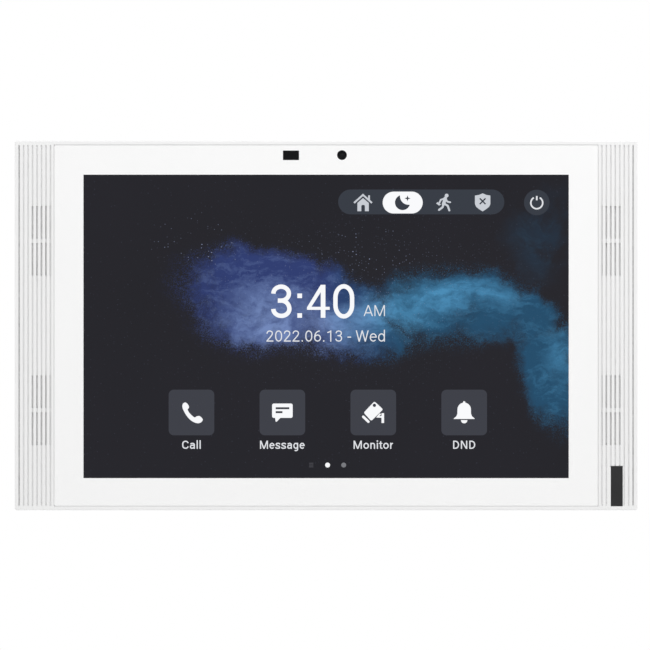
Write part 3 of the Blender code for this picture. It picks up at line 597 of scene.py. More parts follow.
def cloud_density(look, where, billow):
    """How thickly the dust lies: a ragged body, powder along its rim, and a thin veil above."""
    body = oval_group(look, where, CLOUD_BODY)
    gap = oval_mask(look, where, 103.0, 13.0, 9.0, 9.0, 0.9)
    haze = look.span(billow, 0.35, 0.6, 0.0, 0.22)
    veil = look.times(oval_mask(look, where, 98.0, 40.0, 17.0, 24.0, 1.0), haze)
    solid = look.times(body, look.calc("SUBTRACT", 1.0, gap, clamp=True))
    ragged = look.plus(solid, look.times(look.calc("SUBTRACT", billow, 0.5), 1.8))
    ragged = look.times(look.span(ragged, 0.2, 1.05), look.span(solid, 0.0, 0.45))
    rim = look.times(look.calc("SUBTRACT", 1.0, ragged), look.span(solid, 0.0, 0.6))
    powder = look.times(rim, look.span(look.noise(0.4, 2.0, 0.7), 0.4, 0.72, -0.25, 0.75))
    return look.plus(look.plus(ragged, powder), veil, clamp=True)


def cloud_colour(look, where):
    """Blue in the west to cyan in the east, brighter in the core and along its streaks."""
    east_end = oval_mask(look, where, 106.0, -16.0, 13.0, 20.0, 1.0)
    core = look.calc("MAXIMUM", oval_group(look, where, CLOUD_CORE), look.times(east_end, 0.5))
    wisp = look.span(look.noise(12.0, 14.0, 0.66, where=where, stretch=(0.6, 1.0, 1.2)), 0.34, 0.66)
    streak = look.span(look.noise(5.0, 8.0, 0.7, where=where, stretch=(0.45, 1.0, 1.5)), 0.4, 0.66)
    lift = look.plus(look.times(wisp, 0.75), 0.35)
    lift = look.times(core, lift, clamp=True)
    shade = look.plus(lift, look.times(look.calc("SUBTRACT", streak, 0.3), 0.3), clamp=True)
    east = look.span(look.split(where)[0], -6.0, 40.0)
    deep = look.mix(east, (46, 60, 112), (34, 76, 106))
    bright = look.mix(east, (114, 136, 186), (74, 140, 182))
    return look.mix(shade, deep, bright)


def glitter(look, where):
    """Bright grains scattered above the cloud, and a finer mist of them all over it."""
    near = look.times(oval_group(look, where, STAR_FIELDS), 1.1)
    share = look.plus(near, 0.1)
    stars = look.times(specks(look, 1.5, 0.08, 0.2, 0.45), share)
    over = oval_mask(look, where, 14.0, 14.0, 92.0, 42.0, 0.9)
    mist = look.times(specks(look, 0.9, 0.1, 0.28, 0.6), over)
    return look.plus(look.times(stars, 0.75), look.times(mist, 0.4), clamp=True)


def window_picture():
    """The display's own picture: a dark ground, a drifting blue and cyan dust cloud, fine specks."""
    look = Look("display_picture", 0.13, specular=0.25)
    look.colour((4, 4, 5))
    where = look.vector("ADD", look.mm, centred(look, look.noise(46.0, 5.0, 0.55, output="Color"), 30.0))
    where = look.vector("ADD", where, centred(look, look.noise(9.0, 6.0, 0.6, output="Color"), 8.0))
    billow = look.noise(20.0, 12.0, 0.62, where=where)
    ground = look.mix(look.noise(60.0, 2.0), (33, 33, 38), (37, 36, 42))
    cloud = look.mix(cloud_density(look, where, billow), ground, cloud_colour(look, where))
    look.glow(look.mix(glitter(look, where), cloud, (146, 156, 186)))
    return look.mat


def circuit_board():
    """Green solder mask over a lattice of tracks, with pale legend specks and tinned pads."""
    look = Look("circuit_board", 0.38, coat=0.3)
    tracks = look.span(look.cells(2.4, feature="DISTANCE_TO_EDGE"), 0.02, 0.05)
    mask = look.mix(tracks, (24, 104, 62), (12, 76, 42))
    pads = look.span(look.cells(1.7, randomness=0.35), 0.16, 0.12)
    patches = look.span(look.noise(7.0), 0.5, 0.56)
    look.colour(look.mix(look.times(pads, patches), mask, (196, 190, 168)))
    look.relief(tracks, 0.02)
    return look.mat


def amber_film():
    """Polyimide flat cable: copper lanes showing through an amber cover."""
    look = Look("amber_film", 0.3, coat=0.4)
    x = look.split(look.mm)[0]
    lane = look.span(look.calc("PINGPONG", x, 0.4), 0.12, 0.2)
    look.tint(lane, (196, 118, 36), (150, 78, 20))
    look.relief(lane, 0.02)
    look.rough(look.span(look.noise(3.0), 0.3, 0.7, 0.24, 0.38))
    return look.mat


def dust_mesh():
    """Woven pale acoustic mesh."""
    look = Look("dust_mesh", 0.8, specular=0.2)
    x, _, z = look.split(look.mm)
    weave = look.times(look.span(look.calc("PINGPONG", x, 0.15), 0.0, 0.15),
                      look.span(look.calc("PINGPONG", z, 0.15), 0.0, 0.15))
    look.tint(weave, (250, 250, 250), (226, 226, 226))
    look.relief(weave, 0.05)
    return look.mat


def cone_paper():
    """Pressed fibre of a speaker cone, mottled and slightly ribbed."""
    look = Look("speaker_cone", 0.6, specular=0.3)
    look.tint(look.noise(0.8, 6.0, 0.7), (30, 30, 33), (60, 60, 64))
    look.relief(look.noise(0.3, 4.0, 0.6, stretch=(1.0, 1.0, 0.3)), 0.03)
    return look.mat


def dark_gloss(name, level, centre=None):
    """Black window or lens glass, with a faint coating tint in rings about a centre."""
    look = Look(name, 0.08, specular=0.3)
    if centre:
        spot = look.vector("SUBTRACT", look.mm, (centre[0], 0.0, centre[1]))
        flat = look.vector("MULTIPLY", spot, (1.0, 0.0, 1.0))
        away = look.vector("LENGTH", flat)
        bands = look.span(look.calc("PINGPONG", away, 0.45), 0.1, 0.35)
        look.tint(bands, level, (level[0] + 8, level[1] + 8, level[2] + 13))
    else:
        look.tint(look.noise(1.6, 3.0), level, [c + 6 for c in level])
    look.rough(look.span(look.noise(2.2, 3.0), 0.3, 0.7, 0.06, 0.14))
    return look.mat


def clear_sheet(name, level):
    """Clear moulded sheet over a regular grid of light-spreading dots."""
    look = Look(name, 0.16, coat=0.5)
    dots = look.span(look.cells(1.1, randomness=0.1), 0.25, 0.18)
    look.tint(dots, level, (255, 255, 255))
    look.relief(dots, 0.02)
    return look.mat


def white_print():
    """White ink behind the cover glass: even, bright, with a polished surface over it."""
    look = Look("white_print", 0.32, specular=0.4, coat=0.35)
    look.tint(look.noise(70.0, 2.0), (250, 250, 250), (252, 252, 252))
    look.rough(look.span(look.noise(24.0, 4.0, 0.6), 0.3, 0.7, 0.28, 0.36))
    look.relief(look.noise(30.0, 2.0), 0.01)
    return look.mat


def led_look():
    """White flexible strip with a yellow lamp every 7 mm."""
    look = Look("led_strip", 0.35)
    x = look.split(look.mm)[0]
    lamp = look.span(look.calc("PINGPONG", x, 3.5), 1.6, 1.9)
    look.tint(lamp, (235, 232, 220), (244, 214, 120))
    look.relief(lamp, 0.05)
    return look.mat


# ---------------------------------------------------------------- pictures on the display
def phone_icon():
    """A handset lying along the falling diagonal, with a lobe at each end."""
    outline = [(-3.9, 3.8), (-2.7, 4.5), (-1.5, 3.5), (-1.1, 2.2), (-1.7, 1.3), (-0.9, -0.2), (0.5, -1.6),
               (1.5, -2.2), (2.4, -1.7), (3.6, -1.6), (4.8, -2.6), (5.0, -3.5), (4.1, -4.5), (2.7, -4.8),
               (1.0, -4.3), (-0.5, -3.3), (-1.9, -1.8), (-3.1, 0.1), (-4.0, 2.1)]
    return [shape(curve_through(outline, 4, True))]


def bubble_icon():
    lines = [box_outline(-3.0, 3.1, 1.45, 2.35), box_outline(-3.0, 0.05, -0.3, 0.6)]
    tail = [(-3.3, -2.2), (-0.7, -2.2), (-2.5, -4.1), (-3.0, -4.1)]
    return [shape(box_outline(-4.6, 4.6, -2.4, 4.0, 0.8), *lines), shape(tail)]


def camera_icon():
    """A camera body tipped onto its corner, its cap strip and its wall bracket."""
    corners = [Vector(p) for p in ((0.5, 5.0), (4.4, 1.4), (-0.9, -3.8), (-4.3, -0.1))]
    body = []
    for k, at in enumerate(corners):
        back = (corners[k - 1] - at).normalized() * 0.8
        on = (corners[(k + 1) % 4] - at).normalized() * 0.8
        for i in range(5):
            t = i / 4
            body.append(tuple(at + back * (1 - t) ** 2 + on * t ** 2))
    bracket = pen([(4.25, -0.3), (4.25, -4.7)], 1.15) + pen([(3.9, -1.95), (1.9, -1.95), (3.2, -0.6)], 0.85)
    return [shape(body, disc(0.5, 3.2, 0.75, 20))] + pen([(-4.5, -1.9), (-2.2, -4.1)], 1.1, True) + bracket


def bell_icon():
    right = arc(0.0, 1.4, 3.0, 90, 0, 10) + [(3.05, -0.6), (3.5, -1.7), (4.6, -2.6), (4.7, -2.9)]
    left = [(-x, z) for x, z in reversed(right)]
    return [
        shape(right + left[:-1]),
        shape(disc(0.0, 4.5, 0.55, 16)),
        shape(arc(0.0, -3.4, 1.45, 180, 360, 12)),
    ]


def house_icon():
    body = [(-2.5, -3.9), (-0.75, -3.9), (-0.75, -1.5), (-0.4, -1.1), (0.5, -1.1), (0.85, -1.5), (0.85, -3.9),
            (2.6, -3.9), (2.6, -0.2), (0.0, 2.0), (-2.5, -0.2)]
    chimney = box_outline(2.3, 3.1, 1.0, 3.2)
    return [shape(body), shape(chimney)] + pen([(-4.0, -0.2), (0.0, 3.4), (4.0, -0.2)], 0.8)


def moon_icon():
    """A crescent open to the upper right, with a four-pointed star in its arms."""
    outer = arc(0.0, 0.0, 3.4, 110, 341, 40)
    inner = arc(2.7, 2.85, 3.86, 273, 175, 24)
    star = []
    for k in range(8):
        r = 1.35 if k % 2 == 0 else 0.48
        star.append((2.2 + r * math.cos(math.pi * k / 4), 1.85 + r * math.sin(math.pi * k / 4)))
    return [shape(outer + inner), shape(star)]


def runner_icon():
    """A running figure of plain bars and a disc, carrying a small case behind."""
    limbs = (
        ([(0.5, 1.9), (-0.3, -0.7)], 1.5),
        ([(0.6, 1.7), (1.4, 0.4), (2.7, 0.1)], 0.75),
        ([(0.2, 1.8), (-1.5, 1.2), (-2.1, 0.0)], 0.75),
        ([(0.0, -0.5), (1.6, -1.5), (2.3, -3.5)], 0.9),
        ([(-0.3, -0.7), (-0.7, -2.1), (-2.3, -3.3)], 0.9),
    )
    case = [(-3.6, -0.4), (-2.9, 0.2), (-1.4, -0.9), (-2.3, -1.4)]
    shapes = [shape(disc(1.1, 3.1, 0.85, 20)), shape(case)]
    for points, width in limbs:
        shapes += pen(points, width, True)
    return shapes


def shield_icon():
    right = [(0.0, 4.1), (1.6, 3.4), (3.45, 3.1), (3.45, -0.7), (2.9, -1.9), (1.7, -2.9), (0.0, -4.0)]
    left = [(-x, z) for x, z in reversed(right[1:-1])]
    return [shape(right + left)]


def cross_icon():
    return pen([(-1.3, -0.75), (1.3, 1.85)], 0.62) + pen([(-1.3, 1.85), (1.3, -0.75)], 0.62)


def power_icon():
    return pen(arc(0.0, -0.15, 2.65, 120, 420, 40), 0.68) + pen([(0.0, 2.9), (0.0, 1.0)], 0.75)


def clock_digits():
    """3, colon, 4 and 0, drawn down and right from the top left corner of the 3."""
    w = DIGIT_STROKE
    h = CLOCK_HEIGHT
    upper = arc(4.5, -4.15, 3.47, 180, -90, 26, 3.12) + [(3.0, -7.27)]
    lower = [(3.0, -7.27)] + arc(4.6, -11.0, 3.58, 90, 0, 10, 3.73)
    lower += arc(4.6, -11.0, 3.58, 0, -180, 20, 3.1)[1:]
    four = [(16.05, -10.3), (22.2, -0.2), (24.3, -0.2), (24.3, -10.05), (26.2, -10.05), (26.2, -11.4),
            (24.3, -11.4), (24.3, -14.95), (22.2, -14.95), (22.2, -11.4), (16.05, -11.4)]
    inner = [(22.2, -3.5), (22.2, -10.05), (18.05, -10.05)]
    dots = [shape(box_outline(11.75, 13.85, z, z + 2.05)) for z in (-6.15, -14.95)]
    return pen(upper, w) + pen(lower, w) + [shape(four, inner)] + oval(32.5, -h, 0.1, 4.7, w, 3.4) + dots


# ---------------------------------------------------------------- plain grotesque lettering
X_HEIGHT = 0.743
ASCENDER = 1.06


def mark_shapes(mark, w):
    """How far the next mark starts, and one mark's shapes, for capitals 1 high and a pen w wide."""
    low = w / 2
    top = 1.0 - low
    mid = X_HEIGHT - low
    line = X_HEIGHT / 2

    def leg(x, height=1.0):
        return bar(x, 0.0, x, height, w)

    if mark == " ":
        return 0.35, []
    if mark == ".":
        return 0.37, [shape(box_outline(0.11, 0.11 + 1.2 * w, 0.0, 1.2 * w))]
    if mark == "-":
        return 0.39, pen([(0.02, 0.4), (0.36, 0.4)], w)
    if mark == "0":
        return 0.79, oval(0.395, 0.0, 1.0, 0.315, w, 0.16)
    if mark == "1":
        return 0.79, leg(0.44) + pen([(0.13, 0.8), (0.44, 0.92)], w)
    if mark == "2":
        swan = curve_through([(0.12, 0.71), (0.2, 0.88), (0.38, top), (0.57, 0.87), (0.61, 0.7),
                              (0.49, 0.48), (0.15, 0.1)])
        return 0.79, pen(swan, w) + pen([(0.08, low), (0.71, low)], w)
    if mark == "3":
        upper = curve_through([(0.12, 0.75), (0.2, 0.89), (0.38, top), (0.57, 0.87), (0.6, 0.72),
                               (0.53, 0.59), (0.38, 0.53), (0.26, 0.53)])
        lower = curve_through([(0.3, 0.53), (0.42, 0.53), (0.58, 0.44), (0.63, 0.28), (0.56, 0.12),
                               (0.38, low), (0.18, 0.11), (0.1, 0.26)])
        return 0.79, pen(upper, w) + pen(lower, w)
    if mark == "6":
        back = curve_through([(0.6, top), (0.42, top - 0.04), (0.23, 0.74), (0.15, 0.5), (0.14, 0.33)])
        return 0.79, pen(back, w) + oval(0.4, 0.0, 0.64, 0.31, w)
    if mark == "A":
        legs = bar(0.07, 0, 0.46, 1, w) + bar(0.85, 0, 0.46, 1, w)
        return 0.92, legs + pen([(0.2, 0.3), (0.72, 0.3)], w)
    if mark == "C":
        upper = arc(0.48, 0.62, 0.39 - low, 15, 180, 14, top - 0.62)
        return 0.915, pen(upper + arc(0.48, 0.38, 0.39 - low, 180, 345, 14, 0.38 - low), w)
    if mark == "D":
        bow = [(0.14, top)] + arc(0.39, 0.5, 0.44 - low, 90, -90, 16, top - 0.5) + [(0.14, low)]
        return 0.92, leg(0.12 + low) + pen(bow, w)
    if mark == "M":
        legs = leg(0.12 + low) + leg(1.11 - low)
        return 1.23, legs + bar(0.14 + low, 1, 0.615, 0, w) + bar(1.09 - low, 1, 0.615, 0, w)
    if mark == "N":
        legs = leg(0.12 + low) + leg(0.88 - low)
        return 1.0, legs + bar(0.14 + low, 1, 0.86 - low, 0, w)
    if mark == "W":
        outer = bar(0.09, 1, 0.35, 0, w) + bar(1.16, 1, 0.9, 0, w)
        return 1.25, outer + bar(0.625, 1, 0.35, 0, w) + bar(0.625, 1, 0.9, 0, w)
    if mark == "a":
        back = arc(0.36, 0.5, 0.66 - low - 0.36, 0, 155, 10, mid - 0.5)
        bowl = [(0.6, 0.44)] + arc(0.31, (0.44 + low) / 2, 0.24 - low, 90, 270, 12, (0.44 - low) / 2)
        return 0.765, (pen([(0.66 - low, 0.0)] + back, w)
                       + pen(bowl + [(0.45, low + 0.03), (0.6, 0.19)], w))
    if mark == "d":
        return 0.79, leg(0.69 - low, ASCENDER) + oval(0.38, 0.0, X_HEIGHT, 0.31, w)
    if mark == "e":
        bow = arc(0.38, line, 0.32 - low, 2, 318, 24, mid - line)
        return 0.745, pen(bow, w) + pen([(0.1, line + 0.03), (0.68, line + 0.03)], w * 0.9)
    if mark == "g":
        hook = [(0.67 - low, X_HEIGHT), (0.67 - low, -0.04)]
        hook += arc(0.4, -0.05, 0.27 - low, 0, -140, 10, 0.24 - low)
        return 0.79, oval(0.38, 0.0, X_HEIGHT, 0.31, w) + pen(hook, w)
    if mark == "i":
        dot = shape(box_outline(0.17 - 0.6 * w, 0.17 + 0.6 * w, 0.87, 0.87 + 1.15 * w))
        return 0.34, leg(0.17, X_HEIGHT) + [dot]
    if mark == "l":
        return 0.34, leg(0.17, ASCENDER)
    if mark == "n":
        arch = arc(0.385, 0.46, 0.67 - low - 0.385, 170, 0, 12, mid - 0.46) + [(0.67 - low, 0.0)]
        return 0.78, leg(0.1 + low, X_HEIGHT) + pen(arch, w)
    if mark == "o":
        return 0.8, oval(0.4, 0.0, X_HEIGHT, 0.335, w)
    if mark == "r":
        arch = arc(0.42, 0.4, 0.29 - low, 175, 85, 8, mid - 0.4)
        return 0.48, leg(0.1 + low, X_HEIGHT) + pen(arch, w)
    if mark == "s":
        bend = curve_through([(0.62, 0.55), (0.54, 0.65), (0.37, mid), (0.19, 0.64), (0.17, 0.49),
                              (0.36, line), (0.57, 0.27), (0.56, 0.12), (0.38, low), (0.17, 0.09),
                              (0.09, 0.21)])
        return 0.725, pen(bend, w)
    # the one mark left is the small t
    stem = [(0.22, 0.93)] + curve_through([(0.22, 0.25), (0.25, 0.11), (0.35, low), (0.44, low + 0.01)])
    return 0.46, pen(stem, w) + pen([(0.01, mid), (0.42, mid)], w * 0.9)


def lettering(name, text, x0, x1, base_z, cap, material, weight):
    """A line of upright lettering from x0 to x1, its capitals cap high, its pen weight of that."""
    shapes = []
    at = 0.0
    for mark in text:
        step, parts = mark_shapes(mark, weight)
        shapes += placed(parts, at, 0.0)
        at += step
    xs = [x for outline, _ in shapes for x, _ in outline]
    wide = (x1 - x0) / (max(xs) - min(xs))

    def fit(outline):
        return [(x0 + (x - min(xs)) * wide, base_z + z * cap) for x, z in outline]

    flat_piece(name, [shape(fit(outline), *map(fit, holes)) for outline, holes in shapes], ICON_Y, material)


def pill_outline(x_span, z_span):
    """A level bar with round ends."""
    return box_outline(*x_span, *z_span, (z_span[1] - z_span[0]) / 2, 16)


def build_mode_bar(slate, white, pale, soft_white):
    """The bar of house modes, with the night mode chosen, and the power spot beside it."""
    flat_piece("mode_bar", [shape(pill_outline(PILL_X, PILL_Z))], TILE_Y, slate)
    flat_piece("power_spot", [shape(disc(POWER_X, ICON_ROW_Z, POWER_R))], TILE_Y, slate)
    flat_piece("mode_active", [shape(pill_outline(ACTIVE_X, ACTIVE_Z))], ICON_Y, white)
    flat_piece("moon_mark", placed(moon_icon(), MOON_X, ICON_ROW_Z), MARK_Y, slate)
    pale_icons = placed(house_icon(), HOUSE_X, ICON_ROW_Z) + placed(runner_icon(), RUNNER_X, ICON_ROW_Z)
    pale_icons += placed(shield_icon(), SHIELD_X, ICON_ROW_Z)
    flat_piece("mode_icons", pale_icons, ICON_Y, pale)
    flat_piece("shield_cross", placed(cross_icon(), SHIELD_X, ICON_ROW_Z), MARK_Y, slate)
    flat_piece("power_mark", placed(power_icon(), POWER_X, ICON_ROW_Z), ICON_Y, soft_white)


def build_tiles(tile_ink, white, soft_white):
    """The four function tiles, each with its icon and the word below it."""
    icons = (
        ("call", "Call", phone_icon(), 8.3),
        ("message", "Message", bubble_icon(), 20.0),
        ("monitor", "Monitor", camera_icon(), 17.6),
        ("quiet", "DND", bell_icon(), 9.9),
    )
    half = TILE_SIZE / 2
    for i, (name, label, icon, label_width) in enumerate(icons):
        x = TILE_FIRST_X + TILE_PITCH * i
        low = x - label_width / 2
        high = x + label_width / 2
        tile = box_outline(x - half, x + half, TILE_Z - half, TILE_Z + half, TILE_R)
        flat_piece(name + "_tile", [shape(tile)], TILE_Y, tile_ink)
        flat_piece(name + "_icon", placed(icon, x, TILE_Z), ICON_Y, white)
        lettering(name + "_label", label, low, high, LABEL_BASE_Z, LABEL_CAP, soft_white, LABEL_WEIGHT)


def build_clock(white, soft_white):
    """The time, its half of the day and the date, all in plain lettering."""
    flat_piece("clock_digits", placed(clock_digits(), CLOCK_X, CLOCK_TOP_Z), ICON_Y, white)
    lettering("clock_half", "AM", 16.8, CLOCK_RIGHT_X, 4.2, 4.9, soft_white, LIGHT_WEIGHT)
    lettering("date_line", "2022.06.13 - Wed", DATE_X, CLOCK_RIGHT_X, -7.2, 5.0, soft_white, DATE_WEIGHT)


def build_page_marks(white, grey, faint):
    """The page dots below the tiles, after a small list mark."""
    flat_piece("page_dot_now", [shape(disc(DOT_NOW_X, DOTS_Z, DOT_R, 24))], ICON_Y, white)
    flat_piece("page_dot_next", [shape(disc(DOT_NEXT_X, DOTS_Z, DOT_R, 24))], ICON_Y, grey)
    bars = [shape(box_outline(*LIST_X, DOTS_Z + dz - 0.2, DOTS_Z + dz + 0.2)) for dz in (-0.8, 0.0, 0.8)]
    flat_piece("page_list", bars, ICON_Y, faint)


def build_display():
    """The lit picture behind the glass, and every sign that the display lays over it."""
    window = shape(box_outline(-WINDOW_X, WINDOW_X, *WINDOW_Z))
    plate_piece("display_picture", [window], PICTURE_Y, PICTURE_THICK, window_picture())
    slate = lit_ink("display_slate", (54, 59, 68))
    tile_ink = lit_ink("display_tile", (61, 63, 71))
    white = lit_ink("display_white", (250, 251, 253), 0.985)
    soft_white = lit_ink("display_soft_white", (228, 230, 234), 0.985)
    pale = lit_ink("display_pale", (203, 207, 214))
    grey = lit_ink("display_grey", (122, 123, 128))
    faint = lit_ink("display_faint", (72, 72, 78))
    build_mode_bar(slate, white, pale, soft_white)
    build_tiles(tile_ink, white, soft_white)
    build_clock(white, soft_white)
    build_page_marks(white, grey, faint)


# ---------------------------------------------------------------- front of the monitor
def sensor_outline(inset):
    """The light sensor's rectangle in the border, drawn in by inset."""
    w = SENSOR_W / 2 - inset
    h = SENSOR_H / 2 - inset
    return box_outline(SENSOR_X - w, SENSOR_X + w, SENSOR_Z - h, SENSOR_Z + h, 0.15, 3)


def build_front_panel():
    """The glass with the white border behind it, seen as one bright sheet with its openings."""
    x = GLASS_HIGH.x + PANEL_GROW
    z = GLASS_HIGH.z + PANEL_GROW
    holes = [
        box_outline(-WINDOW_X, WINDOW_X, *WINDOW_Z),
        disc(CAMERA_X, CAMERA_Z, CAMERA_HOLE_R, 64),
        sensor_outline(0.0),
    ]
    sheet = shape(box_outline(-x, x, -z, z, 0.5, 4), *holes)
    panel = plate_piece("front_panel", [sheet], GLASS_Y, PANEL_THICK, white_print())
    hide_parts("cover_glass", "printed_border")


def build_camera_eye():
    """The camera seen through its hole: a domed lens in a stepped black ring."""
    rim = CAMERA_HOLE_R - HOLE_GAP
    steps = [(0.0, 0.42), (0.55, 0.46), (0.85, 0.58), (0.9, 0.62), (1.15, 0.62), (1.3, 0.4), (1.32, 0.08),
             (1.4, 0.05), (rim, 0.05), (rim, 0.9), (0.0, 0.9)]
    glass = dark_gloss("camera_eye_glass", (7, 7, 9), (CAMERA_X, CAMERA_Z))
    bm = bmesh.new()
    add_turned(bm, CAMERA_X, CAMERA_Z, [(r, GLASS_Y + depth) for r, depth in steps])
    piece("camera_eye", bm, glass)


def build_sensor_pane():
    """The dark pane over the light sensor, just behind the panel's front."""
    glass = dark_gloss("sensor_pane_glass", (15, 15, 16))
    pane = shape(sensor_outline(HOLE_GAP))
    plate_piece("sensor_pane", [pane], GLASS_Y + PANE_SUNK, PANE_THICK, glass)


def slot_fillers(side, columns):
    """Outlines that fill the sound slots of the given columns of one strip, short of their walls."""
    half = SLOT_WIDTH / 2 - PAD_GAP
    fillers = []
    for k in columns:
        x = side * (CAD_BOX[1].x / MM - SLOT_FIRST - SLOT_PITCH * k)
        for low, high in SLOT_ROWS:
            for z0, z1 in ((low, high), (-high, -low)):
                fillers.append(shape(box_outline(x - half, x + half, z0 + PAD_GAP, z1 - PAD_GAP, 0.3, 3)))
    return fillers


def build_slot_floors(side_name, side, mesh_look, white):
    """The acoustic mesh pressed forward into the sound slots, and the floor of the blind slots."""
    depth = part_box("grille_mesh_" + side_name)[0].y / MM + PAD_OVERLAP - PAD_FRONT_Y
    pads = slot_fillers(side, range(SLOT_COLUMNS))
    plate_piece("grille_pads_" + side_name, pads, PAD_FRONT_Y, depth, mesh_look)
    blind = slot_fillers(side, [SLOT_COLUMNS])
    plate_piece("blind_slots_" + side_name, blind, BLIND_FRONT_Y, BLIND_THICK, white)


def build_groove_shade_strip(side_name, side, rubber):
    """A thin grey strip along the floor of the outermost groove, between strip and rim: painted shade for the
    deep gap there.
    """
    x = side * (CAD_BOX[1].x / MM - SHADE_STRIP_INSET)
    strip = box_outline(x - SHADE_STRIP_WIDTH / 2, x + SHADE_STRIP_WIDTH / 2, -SHADE_STRIP_HALF_LENGTH, SHADE_STRIP_HALF_LENGTH, 0.2, 3)
    # the rubber-like grey given here is painted shade in the gap, not a seal that the monitor has
    plate_piece("groove_shade_strip_" + side_name, [shape(strip)], SHADE_STRIP_FRONT_Y, SHADE_STRIP_THICK, rubber)


# ---------------------------------------------------------------- connectors at the back
def add_screw_head(bm, x, z, y_face, depth, r, slot_width):
    """A cheese head with a driver slot, as two half discs over a thinner disc, facing +Y."""
    half_angle = math.degrees(math.asin(slot_width / 2 / r))
    floor = y_face - depth * 0.55
    for start in (0.0, 180.0):
        half = arc(x, z, r, start + half_angle, start + 180.0 - half_angle, 16)
        add_plate(bm, [shape(half)], floor, y_face)
    add_plate(bm, [shape(disc(x, z, r, 36))], y_face - depth, floor - 0.01)


def build_clamp_screws(plug, ways, pitch, steel):
    """The wire clamp screws seen in the back face of a terminal plug."""
    low, high = (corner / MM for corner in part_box(plug))
    middle = (low.x + high.x) / 2
    bm = bmesh.new()
    for k in range(ways):
        x = middle + (k - (ways - 1) / 2) * pitch
        add_screw_head(bm, x, low.z + CLAMP_RISE, high.y - CLAMP_SUNK, CLAMP_DEPTH, CLAMP_R, CLAMP_SLOT)
    piece(plug + "_screws", bm, steel, plug)


def build_jack_contacts():
    """Eight sprung gold contact wires across the mouth of the network jack."""
    low, high = (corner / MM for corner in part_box("ethernet_jack"))
    middle = (low.x + high.x) / 2
    bm = bmesh.new()
    spring = [(low.y + 1.35, low.z + 3.0), (low.y + 3.6, low.z + 9.6), (low.y + 1.35, low.z + 11.2)]
    for k in range(CONTACTS):
        x = middle + (k - (CONTACTS - 1) / 2) * CONTACT_PITCH
        add_sideways(bm, pen(spring, CONTACT_THICK), x - CONTACT_WIDTH / 2, x + CONTACT_WIDTH / 2)
    gold = sheet_metal("contact_gold", (226, 186, 96), 0.22, depth=0.002)
    piece("jack_contacts", bm, gold)


# ---------------------------------------------------------------- finishes of the CAD nodes
WELD_MM = 0.002
FLAT_DEG = 0.5


def dress(name, material):
    """Gives a CAD node its finish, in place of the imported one."""
    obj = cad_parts[name]
    obj.data.materials.clear()
    obj.data.materials.append(material)


def round_edges(name, width):
    """Rounds a CAD node's sharp edges as a modifier, without touching its mesh."""
    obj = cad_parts[name]
    weld = obj.modifiers.new("weld", "WELD")
    weld.merge_threshold = WELD_MM * MM
    flat = obj.modifiers.new("flat", "DECIMATE")
    flat.decimate_type = "DISSOLVE"
    flat.angle_limit = math.radians(FLAT_DEG)
    edge = obj.modifiers.new("edge", "BEVEL")
    edge.width = width * MM
    edge.segments = 2
    edge.limit_method = "ANGLE"
    edge.angle_limit = math.radians(SHARP_DEG)
    edge.harden_normals = True
    edge.use_clamp_overlap = True


def dress_nodes(white, mesh, screw):
    """One finish for each CAD node; a group of nodes whose names start alike shares one."""
    rear = moulded("rear_white", (226, 226, 224), 0.5, 0.45, 0.02)
    steel = sheet_metal("zinc_plate", (190, 193, 196), 0.36, spangle=3.2, lay=(0.05, 1.0, 1.0))
    alloy = sheet_metal("alloy_plate", (200, 202, 204), 0.34, lay=(0.05, 1.0, 1.0))
    bright = sheet_metal("bright_sheet", (206, 206, 206), 0.26)
    shield = sheet_metal("shield_tin", (204, 202, 196), 0.3, lay=(1.0, 1.0, 0.05))
    nickel = sheet_metal("magnet_nickel", (200, 198, 194), 0.22, depth=0.002)
    board = circuit_board()
    film = amber_film()
    foam = soft_rubber("black_foam", (30, 30, 31), 0.85, 0.3, 0.05)
    rubber = soft_rubber("grey_rubber", (88, 88, 90), 0.78)
    black = moulded("black_plastic", (38, 38, 40), 0.45, 0.3, 0.02, tone=3.0)
    green = moulded("green_terminal", (42, 142, 74), 0.4, 0.5, 0.02, coat=0.1, tone=5.0)
    red = moulded("button_red", (196, 40, 34), 0.35, 0.3, 0.01, tone=5.0)
    badge = moulded("badge_dark", (34, 34, 35), 0.42, 0.25, 0.01, tone=3.0)
    wire_black = soft_rubber("black_wire", (42, 42, 43), 0.5, 0.6, 0.01)
    wire_grey = soft_rubber("grey_wire", (150, 150, 152), 0.5, 0.6, 0.01)
    eye = dark_gloss("lens_glass", (40, 40, 62), (CAMERA_X, CAMERA_Z))
    # each finish and how its nodes' names start; a later row wins over an earlier one
    finishes = (
        (white, "front_frame"),
        (rear, "rear_housing"),
        (steel, "wall_bracket"),
        (alloy, "mid_plate"),
        (bright, "lcd_pan"),
        (shield, "processor_shield ethernet_jack"),
        (board, "main_board light_sensor_board microphone"),
        (badge, "badge_plate"),
        (foam, "cover_adhesive speaker_gasket"),
        (black, "reset_switch camera_module speaker_frame"),
        (red, "reset_button"),
        (film, "camera_flex sensor_flex lcd_flex touch_flex wifi_antenna"),
        (wire_black, "antenna_lead speaker_lead"),
        (wire_grey, "microphone_lead"),
        (green, "io_ power_"),
        (screw, "housing_screw board_screw"),
        (nickel, "speaker_magnet"),
        (rubber, "wall_pad"),
        (mesh, "grille_mesh"),
        (cone_paper(), "speaker_cone"),
        (clear_sheet("acrylic", (228, 234, 238)), "light_guide"),
        (clear_sheet("cover_glass", (240, 246, 246)), "cover_glass"),
        (led_look(), "led_bar"),
        (dark_gloss("lcd_cell", (30, 31, 36)), "lcd_cell"),
        (eye, "camera_lens"),
        (dark_gloss("dark_filter", (20, 20, 22)), "sensor_window"),
        (white_print(), "printed_border"),
    )
    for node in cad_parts:
        dress(node, [finish for finish, starts in finishes if node.startswith(tuple(starts.split()))][-1])


